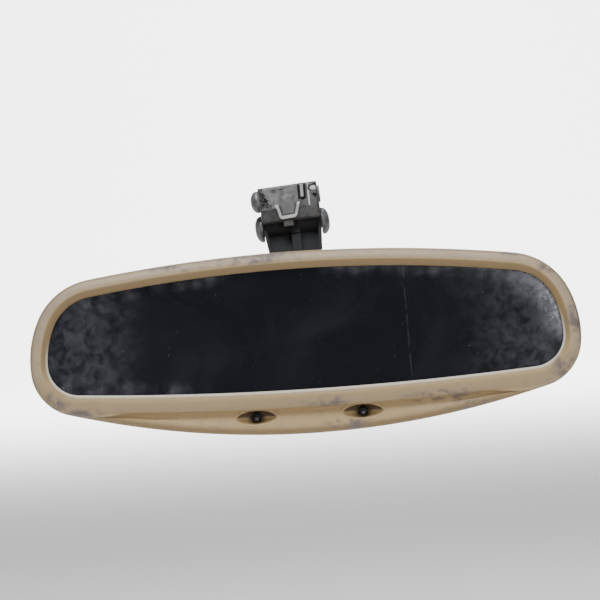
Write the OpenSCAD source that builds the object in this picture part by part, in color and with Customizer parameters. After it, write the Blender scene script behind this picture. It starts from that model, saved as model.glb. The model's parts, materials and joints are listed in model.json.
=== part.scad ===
// Interior rearview mirror: a self-dimming glass in a case with a chin that holds two console lamps,
// on a ball joint and a cast stay that hangs from a windscreen shoe.
// Every sub-part is drawn from the middle of the glass's front face, with X across, Y towards the
// windscreen and Z up. to_row() then moves it to the row frame, whose origin is on the shoe.

/* [Mirror glass] */
// Width of the glass that shows
glass_w = 238.4; // [234:0.2:242]
// Height of the glass that shows, at its middle
glass_h = 55.6; // [54:0.2:57]
// Thickness of each of the two glass plates
plate_t = 2.0; // [1.6:0.1:2.2]

/* [Case] */
// Width of the whole case
case_w = 255.4; // [254:0.2:260]
// Height of the case above the middle of the glass
case_top = 35.8; // [35.6:0.1:38]
// Drop of the chin below the middle of the glass
chin_drop = 48.7; // [46:0.1:51]
// Distance from the glass to the back of the case
case_depth = 34; // [33.6:0.2:35]
// Wall of the case
wall = 2.2; // [1.8:0.1:2.4]
// Distance from the middle to each console lamp
lamp_x = 24.7; // [20:0.1:28]

/* [Ball joint] */
// Diameter of the ball
ball_d = 17; // [16:0.5:17]
// Diameter of the ball stud's neck
neck_d = 8; // [7:0.5:8]

/* [Stay] */
// Width of the stay at its pivot
stay_w = 27.2; // [26.8:0.2:27.6]
// Turn of the stay and the shoe in the ball joint
stay_turn = -4.5; // [-10:0.5:10]

/* [Windscreen shoe] */
// Width of the shoe
shoe_w = 27.8; // [27.4:0.2:28.2]
// Width of the channel that slides over the windscreen button
channel_w = 17.4; // [16:0.2:18]
// Slope of the windscreen, from level
rake = 45; // [45]

/* [Hidden] */
$fn = 64;
round_fn = 96;
far = 60;
slip = 0.05;
seam = 0.05;

// Outlines: half width, top, bottom, height of the widest place, then the radii of the top, upper corner,
// end, lower corner and bottom arcs
glass_edge = [glass_w / 2, glass_h / 2, -glass_h / 2, -10, 686, 22, 43.7, 14.4, 1480];
case_edge = [case_w / 2, case_top, -chin_drop, -9.5, 703, 31.5, 47.9, 22.4, 408];
arc_steps = [10, 9, 5, 7, 10];

// The stack behind the glass, as distances back from its front face
lip_y = -0.5;
crown_y = -3.2;
crown_at = 4.4;
gel_t = 0.2;
mirror_y = plate_t + gel_t;
foam_y = mirror_y + plate_t;
carrier_y = foam_y + 1;
carrier_back = carrier_y + 2.2;
parting_y = 9;

// The ball joint
ball_r = ball_d / 2;
ball_at = [0, 22, 4];
seat_r = ball_r + 1.9;
socket_r = ball_r + 2;
socket_wall = 2.7;
mouth_angle = 50;
case_hole_r = 12;
collar_y = 40.4;
stay_face = 42;
stay_back = 52;

// The stay and its pivot, as distances back and up
pivot_at = [62, 47.6];
knee_at = [48.2, 6];
pivot_r = 6.4;
knee_r = 6;
boss_r = 5;
pin_r = 2.5;
flange_t = 1.5;
flange_in = stay_w / 2 - flange_t;
boss_half = flange_in - 0.8;
stay_mid_w = 24.8;
stay_low_w = 17;
rib_w = 4.2;
rib_x = 1.1;
lip_end = 20;

// The shoe: its windscreen face runs down from face_top
face_top = [62.2, 66.8];
face_len = 24.5;
face_mid = face_top + face_len / 2 * [cos(rake), -sin(rake)];
land_up = 10.6;
shoe_front = 52.6;
screw_at = [57, 60.6];

// The lamps in the chin
lamp_z = -39.7;
scoop_w = 18.6;
scoop_h = 6;
scoop_depth = 6;
sleeve_r = 2.3;
lamp_tilt = 20;
lamp_board_y = 13;

// The circuit board, the plug socket and the light sensors
board_at = [-83, 11, -19];
board_size = [63, 1.6, 38];
board_back = board_at[1] + board_size[1];
board_screw_spots = [[-79, -15], [-24, -14]];
glare_at = [-62, 8];
plug_x = -46;
plug_size = [18, 10];
plug_floor = 22;
plug_back = 32;
eye_x = -78;
eye_back = 30.2;
boss_spots = [for (x = [-88, 88]) for (z = [-15, 13]) [x, z]];
boss_back = 27.2;

// ---- Outlines made of five arcs that run into each other ----

function heading(v) = atan2(v[1], v[0]);

// Where the circle of radius r1 about c1 meets that of radius r2 about c2, on the right hand of the way to c2
function meeting(c1, r1, c2, r2) =
    let (d = norm(c2 - c1), a = (r1 * r1 - r2 * r2 + d * d) / (2 * d), u = (c2 - c1) / d)
    c1 + a * u + sqrt(r1 * r1 - a * a) * [u[1], -u[0]];

// The right half's arcs from the bottom to the top, each as centre, radius, first and last heading
function half_arcs(edge) =
    let (
        top = [0, edge[1] - edge[4]],
        end = [edge[0] - edge[6], edge[3]],
        bottom = [0, edge[2] + edge[8]],
        upper = meeting(top, edge[4] - edge[5], end, edge[6] - edge[5]),
        lower = meeting(end, edge[6] - edge[7], bottom, edge[8] - edge[7]))
    [
        [bottom, edge[8], -90, heading(lower - bottom)],
        [lower, edge[7], heading(lower - bottom), heading(lower - end)],
        [end, edge[6], heading(lower - end), heading(upper - end)],
        [upper, edge[5], heading(upper - end), heading(upper - top)],
        [top, edge[4], heading(upper - top), 90]];

// Points round an outline that is grown outwards by grow
function outline(edge, grow = 0) =
    let (
        arcs = half_arcs(edge),
        right = [
            for (k = [0:4]) for (i = [0:arc_steps[k] - 1])
                let (a = arcs[k][2] + (arcs[k][3] - arcs[k][2]) * i / arc_steps[k])
                arcs[k][0] + (arcs[k][1] + grow) * [cos(a), sin(a)]],
        top = [0, edge[1] + grow],
        left = [for (i = [len(right) - 1:-1:1]) [-right[i][0], right[i][1]]])
    concat(right, [top], left);

function mix(a, b, t) = a + (b - a) * t;
function clamp01(t) = min(max(t, 0), 1);
function unit(v) = v / norm(v);
function in_space(p, y) = [p[0], y, p[1]];

// ---- Shared shapes ----

module to_row() translate(-row_origin) children();

// The stay and the shoe are turned in the ball joint
module turned() translate(ball_at) rotate([0, stay_turn, 0]) translate(-ball_at) children();

// A solid whose cross-sections, all with the same count of points, follow each other round a closed way
module closed_loft(sections) {
    n = len(sections);
    m = len(sections[0]);
    polyhedron(
        points = [for (s = sections) for (p = s) p],
        faces = [
            for (i = [0:n - 1]) for (j = [0:m - 1])
                let (a = i * m + j, b = i * m + (j + 1) % m, c = (i + 1) % n * m + (j + 1) % m, d = (i + 1) % n * m + j)
                each [[a, c, b], [a, d, c]]]);
}

// A flat plate of the given outline, from front to back
module plate(points, front, back) translate([0, back, 0]) rotate([90, 0, 0]) linear_extrude(back - front) polygon(points);

// A band between two outlines
module band(outer, inner, front, back) translate([0, back, 0]) rotate([90, 0, 0]) linear_extrude(back - front)
    difference() {
        polygon(outer);
        polygon(inner);
    }

// A solid turned about the ball joint's axis; its profile has the radius across and Y from the ball up
module joint_turned() translate(ball_at) rotate([-90, 0, 0]) rotate_extrude($fn = round_fn) children();

// A cylinder along Y, from front to back, at a place across and up
module post(at, r, front, back) translate([at[0], front, at[1]]) rotate([-90, 0, 0]) cylinder(h = back - front, r = r);

// A cylinder along X, at a place back and up
module cross_post(at, r, from, to) translate([from, at[0], at[1]]) rotate([0, 90, 0]) cylinder(h = to - from, r = r);

// A shape drawn as back and up, spread across X
module side_shape(from, to) translate([from, 0, 0]) rotate([90, 0, 90]) linear_extrude(to - from) children();

// Two discs joined by their outer tangents
module tapered_slot(c1, r1, c2, r2) {
    way = unit(c2 - c1);
    lean = asin((r1 - r2) / norm(c2 - c1));
    left = [way[0] * sin(lean) - way[1] * cos(lean), way[1] * sin(lean) + way[0] * cos(lean)];
    right = [way[0] * sin(lean) + way[1] * cos(lean), way[1] * sin(lean) - way[0] * cos(lean)];
    translate(c1) circle(r1);
    translate(c2) circle(r2);
    polygon([c1 + r1 * left, c1 + r1 * right, c2 + r2 * right, c2 + r2 * left]);
}

// The part of a profile between two angles from the joint's axis
module wedge(a, b) polygon([[0, 0], far * [sin(a), cos(a)], far * [sin((a + b) / 2), cos((a + b) / 2)], far * [sin(b), cos(b)]]);

function ellipse(w, h, n = 40) = [for (i = [0:n - 1]) [w / 2 * cos(360 * i / n), h / 2 * sin(360 * i / n)]];

// ---- Windscreen shoe ----

// Moves what is drawn across, up the slope and out from the windscreen face into place on the shoe
module on_face() translate([0, face_mid[0], face_mid[1]]) rotate([rake - 90, 0, 0]) children();

function on_face_point(up) = [0, face_mid[0] - up * cos(rake), face_mid[1] + up * sin(rake)];

// The slot for the windscreen button: a narrow mouth over a wider floor, with a round upper end
module button_slot(half, deep, shallow) on_face() translate([0, 0, -deep])
    linear_extrude(deep - shallow) {
        circle(half);
        translate([-half, 0]) square([2 * half, face_len]);
    }

module shoe_body() color([0.62, 0.62, 0.64]) turned() difference() {
    union() {
        side_shape(-shoe_w / 2, shoe_w / 2) difference() {
            polygon([
                [shoe_front, 50.8], [shoe_front, 64.4], [shoe_front + 2.4, 66.8], face_top,
                face_top + face_len * [cos(rake), -sin(rake)], [74.6, 44.6], [66, 44.2], [57, 49.7],
                [shoe_front + 1.1, 49.7]]);
            intersection() {
                translate(pivot_at) circle(pivot_r + 0.4);
                translate(pivot_at) rotate(180 - lip_end - 28) square(far);
            }
        }
        cross_post(pivot_at, boss_r, -boss_half, boss_half);
        cross_post(screw_at, 4, shoe_w / 2 - 1, shoe_w / 2 + 1);
    }
    for (side = [-1, 1]) translate([side * (boss_half + far / 2), 0, 0]) {
        cross_post(pivot_at, pivot_r + 0.7, -far / 2, far / 2);
        translate([0, 46, 30]) cube([far, 48, 47.6 - 23.5 + 0.5], center = true);
        translate([0, 61.5, 46]) cube([far, 18, 10], center = true);
    }
    cross_post(pivot_at, pin_r, -far, far);
    cross_post(screw_at, 2, -far, far);
    button_slot(channel_w / 2, 1.8, -1);
    button_slot(channel_w / 2 + 1.1, 5.2, 1.8);
    translate([4.8, shoe_front - 1, 59]) cube([3.9, 2.6, 9]);
    translate([-1.6, shoe_front - 1, 53]) cube([3.2, 3.4, 3]);
}

module retaining_clip() color([0.72, 0.72, 0.74]) turned() translate([0, shoe_front - 0.45, 0]) {
    rotate([90, 0, 0]) linear_extrude(0.9) {
        polygon([
            [-12.4, 64.2], [-11.6, 62], [-9.8, 58.6], [-10.6, 56.2], [-6.6, 56.2], [-6, 52.8], [-4.8, 51.2],
            [1.6, 51.2], [3.4, 52.8], [4.6, 57], [4.6, 64.2]]);
        translate([-3.8, 47.4]) square([4.8, 4]);
    }
    translate([5.8, -0.9, 59.8]) cube([1.9, 1.8, 5]);
    translate([4.4, -0.9, 63]) cube([3.3, 0.9, 1.2]);
}

module clamp_screw() color([0.45, 0.45, 0.47]) turned() {
    cross_post(screw_at, 2 - slip, -shoe_w / 2, shoe_w / 2 + 0.8);
    dome([-shoe_w / 2, screw_at[0], screw_at[1]], -1, 5.2, 4);
}

// A low dome of radius r that stands h out from a place, along X times side
module dome(at, side, r, h) translate(at) rotate([0, side * 90, 0]) rotate_extrude($fn = 64) intersection() {
    square([r, h]);
    translate([0, 0.6 + h / 2 - r * r / (2 * h)]) circle(r = (r * r + h * h) / (2 * h));
}

module pivot_pin() color([0.7, 0.7, 0.72]) turned() cross_post(pivot_at, pin_r - slip, -stay_w / 2 - 2, stay_w / 2 + 2);

module pivot_cap(side) color([0.42, 0.42, 0.44]) turned() difference() {
    dome([side * (stay_w / 2 + 0.1), pivot_at[0], pivot_at[1]], side, 6.3, 4);
    cross_post(pivot_at, pin_r - slip, -stay_w / 2 - 2, stay_w / 2 + 2);
}

module friction_washers() color([0.7, 0.68, 0.6]) turned() for (side = [-1, 1]) difference() {
    cross_post(pivot_at, 4.6, side * (flange_in + boss_half) / 2 - 0.3, side * (flange_in + boss_half) / 2 + 0.3);
    cross_post(pivot_at, pin_r + slip, -far, far);
}

// ---- Stay ----

module stay_arm() color([0.24, 0.24, 0.26]) turned() difference() {
    union() {
        intersection() {
            side_shape(-stay_w / 2, stay_w / 2) tapered_slot(knee_at, knee_r, pivot_at, pivot_r);
            plate([
                [-stay_w / 2, 60], [-stay_w / 2, 46], [-stay_mid_w / 2, 35], [-stay_low_w / 2, 10],
                [-stay_low_w / 2, -2], [stay_low_w / 2, -2], [stay_low_w / 2, 10], [stay_mid_w / 2, 35],
                [stay_w / 2, 46], [stay_w / 2, 60]], 30, 80);
        }
        post([0, ball_at[2]], 8, stay_face, stay_back);
    }
    stay_pockets();
    stay_fork();
    post([0, ball_at[2]], 7.6, stay_back, far);
    cross_post(pivot_at, pin_r + slip, -far, far);
    post([0, ball_at[2]], 3.5, stay_face - 1, stay_back + 1);
}

// The space between the two flanges that takes the shoe's barrel, behind a lip that closes it in front
module stay_fork() {
    way = unit(pivot_at - knee_at);
    out = [-way[1], way[0]];
    cross_post(pivot_at, boss_r + 0.5, -flange_in, flange_in);
    side_shape(-flange_in, flange_in) difference() {
        polygon([
            pivot_at - 4 * way - 10 * out, pivot_at - 4 * way + 10 * out,
            pivot_at + 10 * way + 10 * out, pivot_at + 10 * way - 10 * out]);
        polygon([
            pivot_at, pivot_at - far * [cos(lip_end), -sin(lip_end)], pivot_at + far * out - far * way,
            pivot_at - far * way]);
    }
}

// The hollows on the stay's two faces, which leave a web, two flanges and a middle rib
module stay_pockets() {
    way = unit(pivot_at - knee_at);
    out = [-way[1], way[0]];
    for (hollow = [
        [knee_at + 9 * way + 2.6 * out, pivot_at + 2.6 * out, pivot_at + 12 * out, knee_at + 9 * way + 12 * out],
        [knee_at + 9 * way - 12 * out, pivot_at + 12 * way - 12 * out, pivot_at + 12 * way - 0.4 * out,
            knee_at + 9 * way - 0.4 * out]])
    difference() {
        intersection() {
            side_shape(-far, far) difference() {
                polygon(hollow);
                translate(pivot_at) circle(pivot_r - 0.4);
            }
            plate([
                [-flange_in, 70], [-flange_in, 46], [-stay_mid_w / 2 + flange_t, 35],
                [-stay_low_w / 2 + flange_t, 10.4], [stay_low_w / 2 - flange_t, 10.4],
                [stay_mid_w / 2 - flange_t, 35], [flange_in, 46], [flange_in, 70]], 20, 90);
        }
        side_shape(rib_x - rib_w / 2, rib_x + rib_w / 2) polygon([
            knee_at + (knee_r - 0.6) * out, pivot_at - 6 * way + (pivot_r - 0.6) * out, pivot_at + far * out,
            pivot_at + 0.5 * way, pivot_at + 0.5 * way - far * out, knee_at - far * out,
            knee_at - (knee_r - 0.6) * out]);
    }
}

module ball_stud() color([0.75, 0.75, 0.77]) turned() joint_turned() union() {
    intersection() {
        circle(r = ball_r, $fn = round_fn);
        translate([0, -far]) square([far, 2 * far]);
    }
    square([neck_d / 2, collar_y - ball_at[1] + 0.4]);
    translate([0, collar_y - ball_at[1]]) square([6.5, stay_face - collar_y]);
    square([3.5 - slip, stay_back + 5.6 - ball_at[1]]);
}

module stud_washer() color([0.7, 0.7, 0.72]) turned() joint_turned()
    translate([3.5 + slip, stay_back - ball_at[1]]) square([3.4, 1]);

module stud_nut() color([0.6, 0.6, 0.62]) turned() translate([0, stay_back + 1, ball_at[2]]) rotate([-90, 0, 0])
    difference() {
        cylinder(h = 4, r = 6.4, $fn = 6);
        translate([0, 0, -1]) cylinder(h = 6, r = 3.5 + slip);
    }

// ---- Ball joint ----

module ball_seat_ring() color([0.9, 0.88, 0.82]) joint_turned() intersection() {
    difference() {
        circle(r = seat_r, $fn = round_fn);
        circle(r = ball_r + slip, $fn = round_fn);
    }
    wedge(58, 86);
}

module pressure_cup() color([0.85, 0.83, 0.78]) joint_turned() difference() {
    translate([0, -ball_r - 2.7]) square([socket_r - 0.3, ball_r - 0.9]);
    circle(r = ball_r + slip, $fn = round_fn);
}

module socket_housing() color([0.55, 0.55, 0.57]) difference() {
    joint_turned() difference() {
        union() {
            translate([0, carrier_back - ball_at[1]]) square([19, 2.4]);
            translate([0, carrier_back - ball_at[1]]) square([socket_r + socket_wall, ball_at[1] - carrier_back]);
            intersection() {
                circle(r = socket_r + socket_wall, $fn = round_fn);
                square(far);
            }
        }
        circle(r = socket_r, $fn = round_fn);
        translate([-1, -far]) square([socket_r + 1, far]);
        wedge(-1, mouth_angle);
    }
    for (a = [30:120:270]) post(socket_screw_spot(a), 1.3, carrier_back - 1, carrier_back + 4);
}

function socket_screw_spot(a) = [16.2 * cos(a), ball_at[2] + 16.2 * sin(a)];

module socket_spring() color([0.6, 0.6, 0.62]) joint_turned()
    translate([socket_r - 3.4, carrier_back - ball_at[1]]) square([3.1, ball_at[1] - carrier_back - ball_r - 2.7]);

module socket_screws() color([0.7, 0.7, 0.72]) for (a = [30:120:270]) {
    post(socket_screw_spot(a), 1.3 - slip, carrier_y + 0.4, carrier_back + 3);
    post(socket_screw_spot(a), 2.4, carrier_back + 2.4, carrier_back + 4);
}

// ---- Glass and what holds it ----

// The bezel's cross-section where the visible glass ends at g and the case at o; n points out from the glass
function bezel_section(g, n, o) =
    let (
        crown = g + crown_at * n,
        rest = norm(o - crown),
        full = crown_at + rest,
        chin = clamp01((full - 11) / 4.5),
        steps = [
            [1.2, lip_y - seam], [1.2, -1], [2.6, -2.4], [crown_at, crown_y], [mix(6.6, 7, chin), -2.6],
            [min(9.2, full - 0.7), mix(-0.9, 0.4, chin)], [min(10, full - 0.3), mix(0.6, -0.5, chin)],
            [mix(full - 0.1, full - 3.6, chin), mix(2, 0, chin)], [mix(full, full - 1, chin), mix(3.4, 1.8, chin)],
            [full, 5], [full, parting_y], [full - wall, parting_y], [full - wall, 4.6],
            [mix(full - wall - 0.2, full - 4.6, chin), mix(2.6, 2.8, chin)], [5, 1], [4.4, 4.4], [2.6, 4.4],
            [2.6, lip_y - seam]])
    [for (s = steps) in_space(s[0] <= crown_at ? g + s[0] * n : mix(crown, o, (s[0] - crown_at) / rest), s[1])];

module scoop_at(side, w, h, front, back) translate([side * lamp_x, 0, lamp_z]) plate(ellipse(w, h), front, back);

module bezel() color([0.76, 0.68, 0.54]) {
    edge = outline(glass_edge);
    beside = outline(glass_edge, 1);
    case = outline(case_edge);
    difference() {
        union() {
            difference() {
                closed_loft([for (i = [0:len(edge) - 1]) bezel_section(edge[i], beside[i] - edge[i], case[i])]);
                for (side = [-1, 1]) scoop_at(side, scoop_w, scoop_h, -5, scoop_depth);
            }
            for (side = [-1, 1]) difference() {
                scoop_at(side, scoop_w + 2, scoop_h + 2, 1.6, scoop_depth + 1.4);
                scoop_at(side, scoop_w, scoop_h, -5, scoop_depth);
            }
            for (side = [-1, 1]) for (out = [-6.5, 6.5])
                post([side * lamp_x + out, lamp_z + 1.6], 1.4, scoop_depth + 1, lamp_board_y);
        }
        for (side = [-1, 1]) lamp_axis(side) translate([0, 0, -9]) cylinder(h = 10.5, r = sleeve_r + 0.1);
    }
}

module glazing_seal() color([0.08, 0.08, 0.08]) band(outline(glass_edge, 2), outline(glass_edge), lip_y, 0);

module front_glass() color([0.16, 0.18, 0.22]) plate(outline(glass_edge, 2), 0, plate_t);

module dimming_gel() color([0.1, 0.14, 0.25]) plate(outline(glass_edge, -1.5), plate_t, mirror_y);

module cell_edge_seal() color([0.1, 0.1, 0.1]) band(outline(glass_edge, 0.8), outline(glass_edge, -1.5), plate_t, mirror_y);

module mirror_plate() color([0.75, 0.78, 0.8]) plate(outline(glass_edge, 1.6), mirror_y, foam_y);

// A copper strip along the upper or lower edge of the glass
module bus_clip(reach) color([0.8, 0.55, 0.35]) intersection() {
    band(outline(glass_edge, 2.4), outline(glass_edge, 2.05), 0.6, foam_y);
    translate([0, 0, reach * far]) cube([160, far, 2 * far], center = true);
}

module foam_pad() color([0.2, 0.2, 0.22]) difference() {
    plate(outline(glass_edge, -3), foam_y, carrier_y);
    post(glare_at, 4, 0, 20);
}

module carrier_plate() color([0.16, 0.16, 0.17]) difference() {
    union() {
        plate(outline(glass_edge, 1), carrier_y, carrier_back);
        band(outline(glass_edge, 1), outline(glass_edge, -0.6), carrier_back - seam, carrier_back + 3);
        for (spot = board_screw_spots) post(spot, 2.6, carrier_back - seam, board_at[1]);
    }
    post(glare_at, 3.4, 0, 20);
    for (spot = boss_spots) {
        post(spot, 1.3, 0, 20);
        post(spot, 2.6, 0, carrier_y + 1.1);
    }
    for (a = [30:120:270]) post(socket_screw_spot(a), 1.3, 0, 20);
    for (spot = board_screw_spots) post(spot, 1, carrier_back - 1, 20);
}

module carrier_screws() color([0.7, 0.7, 0.72]) for (spot = boss_spots) {
    post(spot, 1.2, carrier_y + 1, carrier_y + 11);
    post(spot, 2.5, carrier_y + 0.05, carrier_y + 1.1);
}

// ---- Electronics ----

module circuit_board() color([0.1, 0.35, 0.18]) difference() {
    translate(board_at) cube(board_size);
    for (spot = board_screw_spots) post(spot, 1.2, 0, 20);
}

module control_chip() color([0.12, 0.12, 0.13]) {
    translate([-74, board_back, -16]) cube([14, 2.4, 14]);
    translate([-34, board_back, 4]) cube([8, 1.6, 5]);
}

module board_capacitors() color([0.3, 0.3, 0.36]) for (spot = [[-66, 14], [-58, 14], [-36, -12]])
    post(spot, 3.1, board_back, board_back + 6.5);

module board_screws() color([0.7, 0.7, 0.72]) for (spot = board_screw_spots) {
    post(spot, 1 - slip, carrier_back, board_back + 0.5);
    post(spot, 2.2, board_back, board_back + 1.4);
}

module glare_sensor() color([0.3, 0.3, 0.34]) post(glare_at, 2.5, carrier_y + 0.6, board_at[1]);

module sky_sensor() color([0.3, 0.3, 0.34]) post([eye_x, 0], 2.5, board_back, eye_back - 3.5);

module sky_sensor_window() color([0.1, 0.1, 0.11]) post([eye_x, 0], 4, eye_back - 3.4, eye_back);

module plug_socket() color([0.12, 0.12, 0.13]) difference() {
    translate([plug_x - plug_size[0] / 2, board_back, -plug_size[1] / 2])
        cube([plug_size[0], plug_back - board_back, plug_size[1]]);
    translate([plug_x - plug_size[0] / 2 + 1.3, plug_floor, -plug_size[1] / 2 + 1.3])
        cube([plug_size[0] - 2.6, 20, plug_size[1] - 2.6]);
}

module plug_pins() color([0.8, 0.7, 0.4]) for (x = [-5, 0, 5]) for (z = [-1.7, 1.7])
    translate([plug_x + x - 0.3, plug_floor, z - 0.3]) cube([0.6, 5, 0.6]);

// ---- Console lamps ----

module lamp_axis(side) translate([side * lamp_x, scoop_depth, lamp_z]) rotate([90 + lamp_tilt, 0, 0]) children();

module lamp_board() color([0.1, 0.35, 0.18]) translate([-36, lamp_board_y, -42]) cube([72, 1.2, 8.5]);

module lamp(side) color([0.9, 0.9, 0.85]) lamp_axis(side) {
    translate([0, 0, -6.8]) cylinder(h = 9, r = 1.5);
    translate([0, 0, 2.2]) sphere(r = 1.5);
}

module lamp_sleeve(side) color([0.05, 0.05, 0.05]) lamp_axis(side) difference() {
    translate([0, 0, -4]) cylinder(h = 6.6, r = sleeve_r);
    translate([0, 0, -5]) cylinder(h = 9, r = 1.5 + slip);
}

// ---- Rear case ----

// The case's wall from its front edge at o to the hole for the stud, out of shares of a quarter ellipse
function case_wall(o, hole, depth) = [
    for (a = [0:15:90]) in_space(mix(o, hole, 1 - pow(cos(a), 0.9)), parting_y + seam + (depth - parting_y) * pow(sin(a), 0.85))];

function case_section(o) =
    let (centre = [0, ball_at[2]], way = unit(o - centre), hole = centre + (case_hole_r - 0.6) * way)
    concat(
        case_wall(o, hole, case_depth),
        [for (i = [6:-1:0]) case_wall(o - wall * way, hole, case_depth - wall)[i]]);

module rear_case() color([0.76, 0.68, 0.54]) difference() {
    union() {
        closed_loft([for (o = outline(case_edge)) case_section(o)]);
        for (spot = boss_spots) post(spot, 3.4, carrier_back + 0.05, boss_back);
    }
    post([0, ball_at[2]], case_hole_r, 20, 50);
    for (spot = boss_spots) post(spot, 1.2 + slip, 0, carrier_y + 12);
    translate([plug_x, 30, 0]) cube([plug_size[0] + 0.6, 20, plug_size[1] + 0.6], center = true);
    post([eye_x, 0], 4.2, 20, 50);
}

module neck_grommet() color([0.08, 0.08, 0.08]) joint_turned()
    translate([case_hole_r - 1.35, case_depth - wall - ball_at[1]]) square([1.3, wall + 0.6]);

// The row frame's origin: the middle of the land above the button slot, on the windscreen face
land = on_face_point(land_up);
row_origin = ball_at + [
    (land[2] - ball_at[2]) * sin(stay_turn), land[1] - ball_at[1], (land[2] - ball_at[2]) * cos(stay_turn)];

to_row() shoe_body();
to_row() retaining_clip();
to_row() clamp_screw();
to_row() pivot_pin();
to_row() pivot_cap(-1);  // pivot_cap_left
to_row() pivot_cap(1);  // pivot_cap_right
to_row() friction_washers();
to_row() stay_arm();
to_row() ball_stud();
to_row() stud_washer();
to_row() stud_nut();
to_row() ball_seat_ring();
to_row() pressure_cup();
to_row() bezel();
to_row() glazing_seal();
to_row() front_glass();
to_row() dimming_gel();
to_row() cell_edge_seal();
to_row() mirror_plate();
to_row() bus_clip(1);  // bus_clip_top
to_row() bus_clip(-1);  // bus_clip_bottom
to_row() foam_pad();
to_row() carrier_plate();
to_row() carrier_screws();
to_row() socket_housing();
to_row() socket_spring();
to_row() socket_screws();
to_row() circuit_board();
to_row() control_chip();
to_row() board_capacitors();
to_row() board_screws();
to_row() glare_sensor();
to_row() sky_sensor();
to_row() sky_sensor_window();
to_row() plug_socket();
to_row() plug_pins();
to_row() lamp_board();
to_row() lamp(-1);  // lamp_left
to_row() lamp(1);  // lamp_right
to_row() lamp_sleeve(-1);  // lamp_sleeve_left
to_row() lamp_sleeve(1);  // lamp_sleeve_right
to_row() rear_case();
to_row() neck_grommet();
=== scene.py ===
import json
import math

import bpy
import numpy as np
from mathutils import Matrix, Vector


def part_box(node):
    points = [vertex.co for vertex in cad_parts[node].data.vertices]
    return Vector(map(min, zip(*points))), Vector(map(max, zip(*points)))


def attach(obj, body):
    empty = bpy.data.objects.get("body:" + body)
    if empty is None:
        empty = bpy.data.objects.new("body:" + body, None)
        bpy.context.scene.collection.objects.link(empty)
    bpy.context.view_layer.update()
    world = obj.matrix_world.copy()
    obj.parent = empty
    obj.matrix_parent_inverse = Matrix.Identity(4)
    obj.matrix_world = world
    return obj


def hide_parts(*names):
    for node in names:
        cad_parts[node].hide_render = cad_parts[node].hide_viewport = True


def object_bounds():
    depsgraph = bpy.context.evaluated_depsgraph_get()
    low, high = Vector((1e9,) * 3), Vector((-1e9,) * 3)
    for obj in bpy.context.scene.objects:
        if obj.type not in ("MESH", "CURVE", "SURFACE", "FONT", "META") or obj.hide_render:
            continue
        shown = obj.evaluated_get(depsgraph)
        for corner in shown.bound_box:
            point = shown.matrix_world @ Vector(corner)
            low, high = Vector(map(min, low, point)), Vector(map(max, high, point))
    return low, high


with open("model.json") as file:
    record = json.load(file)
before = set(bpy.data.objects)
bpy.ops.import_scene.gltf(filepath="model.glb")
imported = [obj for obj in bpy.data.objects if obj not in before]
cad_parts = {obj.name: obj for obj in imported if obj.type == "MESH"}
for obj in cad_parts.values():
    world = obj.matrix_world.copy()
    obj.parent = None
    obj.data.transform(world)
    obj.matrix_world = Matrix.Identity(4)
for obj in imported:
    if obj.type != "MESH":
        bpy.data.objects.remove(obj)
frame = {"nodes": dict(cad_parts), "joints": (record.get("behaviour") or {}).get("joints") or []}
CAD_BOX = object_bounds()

bl_info = {
    "name": "Interior rearview mirror",
    "version": (1, 0, 0),
    "blender": (4, 5, 0),
    "location": "3D View > Sidebar > Rear mirror",
    "description": "Builds the finished surfaces of a self-dimming rearview mirror on its CAD frame",
    "category": "Object",
}

# ---- Where things are -------------------------------------------------------------------------------
# Shapes are worked out in millimetres from the middle of the glass's front face, with X to the right,
# Y towards the windscreen and Z up, and then moved to the row frame in metres.

glass_low, glass_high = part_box("front_glass")
GLASS_HOME = np.array([(glass_low.x + glass_high.x) / 2, glass_low.y, (glass_low.z + glass_high.z) / 2])
JOINTS = {joint["name"]: joint for joint in frame["joints"]}
BALL = np.array(JOINTS["mirror_yaw"]["pos_m"])
PIVOT_AXIS = JOINTS["stay_swing"]["axis"]
HUNG_TURN = math.atan2(-PIVOT_AXIS[2], PIVOT_AXIS[0])
BALL_MM = (BALL - GLASS_HOME) * 1000
CASE_DEPTH = (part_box("rear_case")[1].y - GLASS_HOME[1]) * 1000
SEAM_Y = (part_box("bezel")[1].y - GLASS_HOME[1]) * 1000
LAMP_X = (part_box("lamp_right")[0].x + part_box("lamp_right")[1].x) / 2 * 1000 - GLASS_HOME[0] * 1000


def in_head(points):
    """Millimetres in the drawing frame to metres in the row frame: divided by 1000 and moved to the glass."""
    return np.asarray(points, float) / 1000 + GLASS_HOME


def drawn_box(node):
    """The lowest and highest corner of a CAD node in the drawing frame, in millimetres."""
    return [(np.array(corner) - GLASS_HOME) * 1000 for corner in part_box(node)]


def in_mount(points):
    """The same for the stay and shoe, which are turned about the ball's fore-and-aft axis."""
    p = np.asarray(points, float) - BALL_MM
    c, s = math.cos(HUNG_TURN), math.sin(HUNG_TURN)
    turned = np.stack([p[..., 0] * c + p[..., 2] * s, p[..., 1], p[..., 2] * c - p[..., 0] * s], -1)
    return turned / 1000 + BALL


# ---- Grids ------------------------------------------------------------------------------------------


def smooth(t):
    """3t^2 - 2t^3 of t held between 0 and 1."""
    t = np.clip(t, 0, 1)
    return t * t * (3 - 2 * t)


def mix(a, b, t):
    """a + (b - a) t."""
    return a + (b - a) * t


def grid_faces(rows, columns, wrap_rows=False, wrap_columns=False, flip=False):
    """Corner numbers of the quads of a rows x columns grid, closed on itself where a wrap is asked for."""
    r = np.arange(rows if wrap_rows else rows - 1)
    c = np.arange(columns if wrap_columns else columns - 1)
    r, c = np.meshgrid(r, c, indexing="ij")
    r1, c1 = (r + 1) % rows, (c + 1) % columns
    row, next_row = r * columns, r1 * columns
    quads = np.stack([row + c, row + c1, next_row + c1, next_row + c], -1).reshape(-1, 4)
    return quads[:, ::-1] if flip else quads


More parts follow.
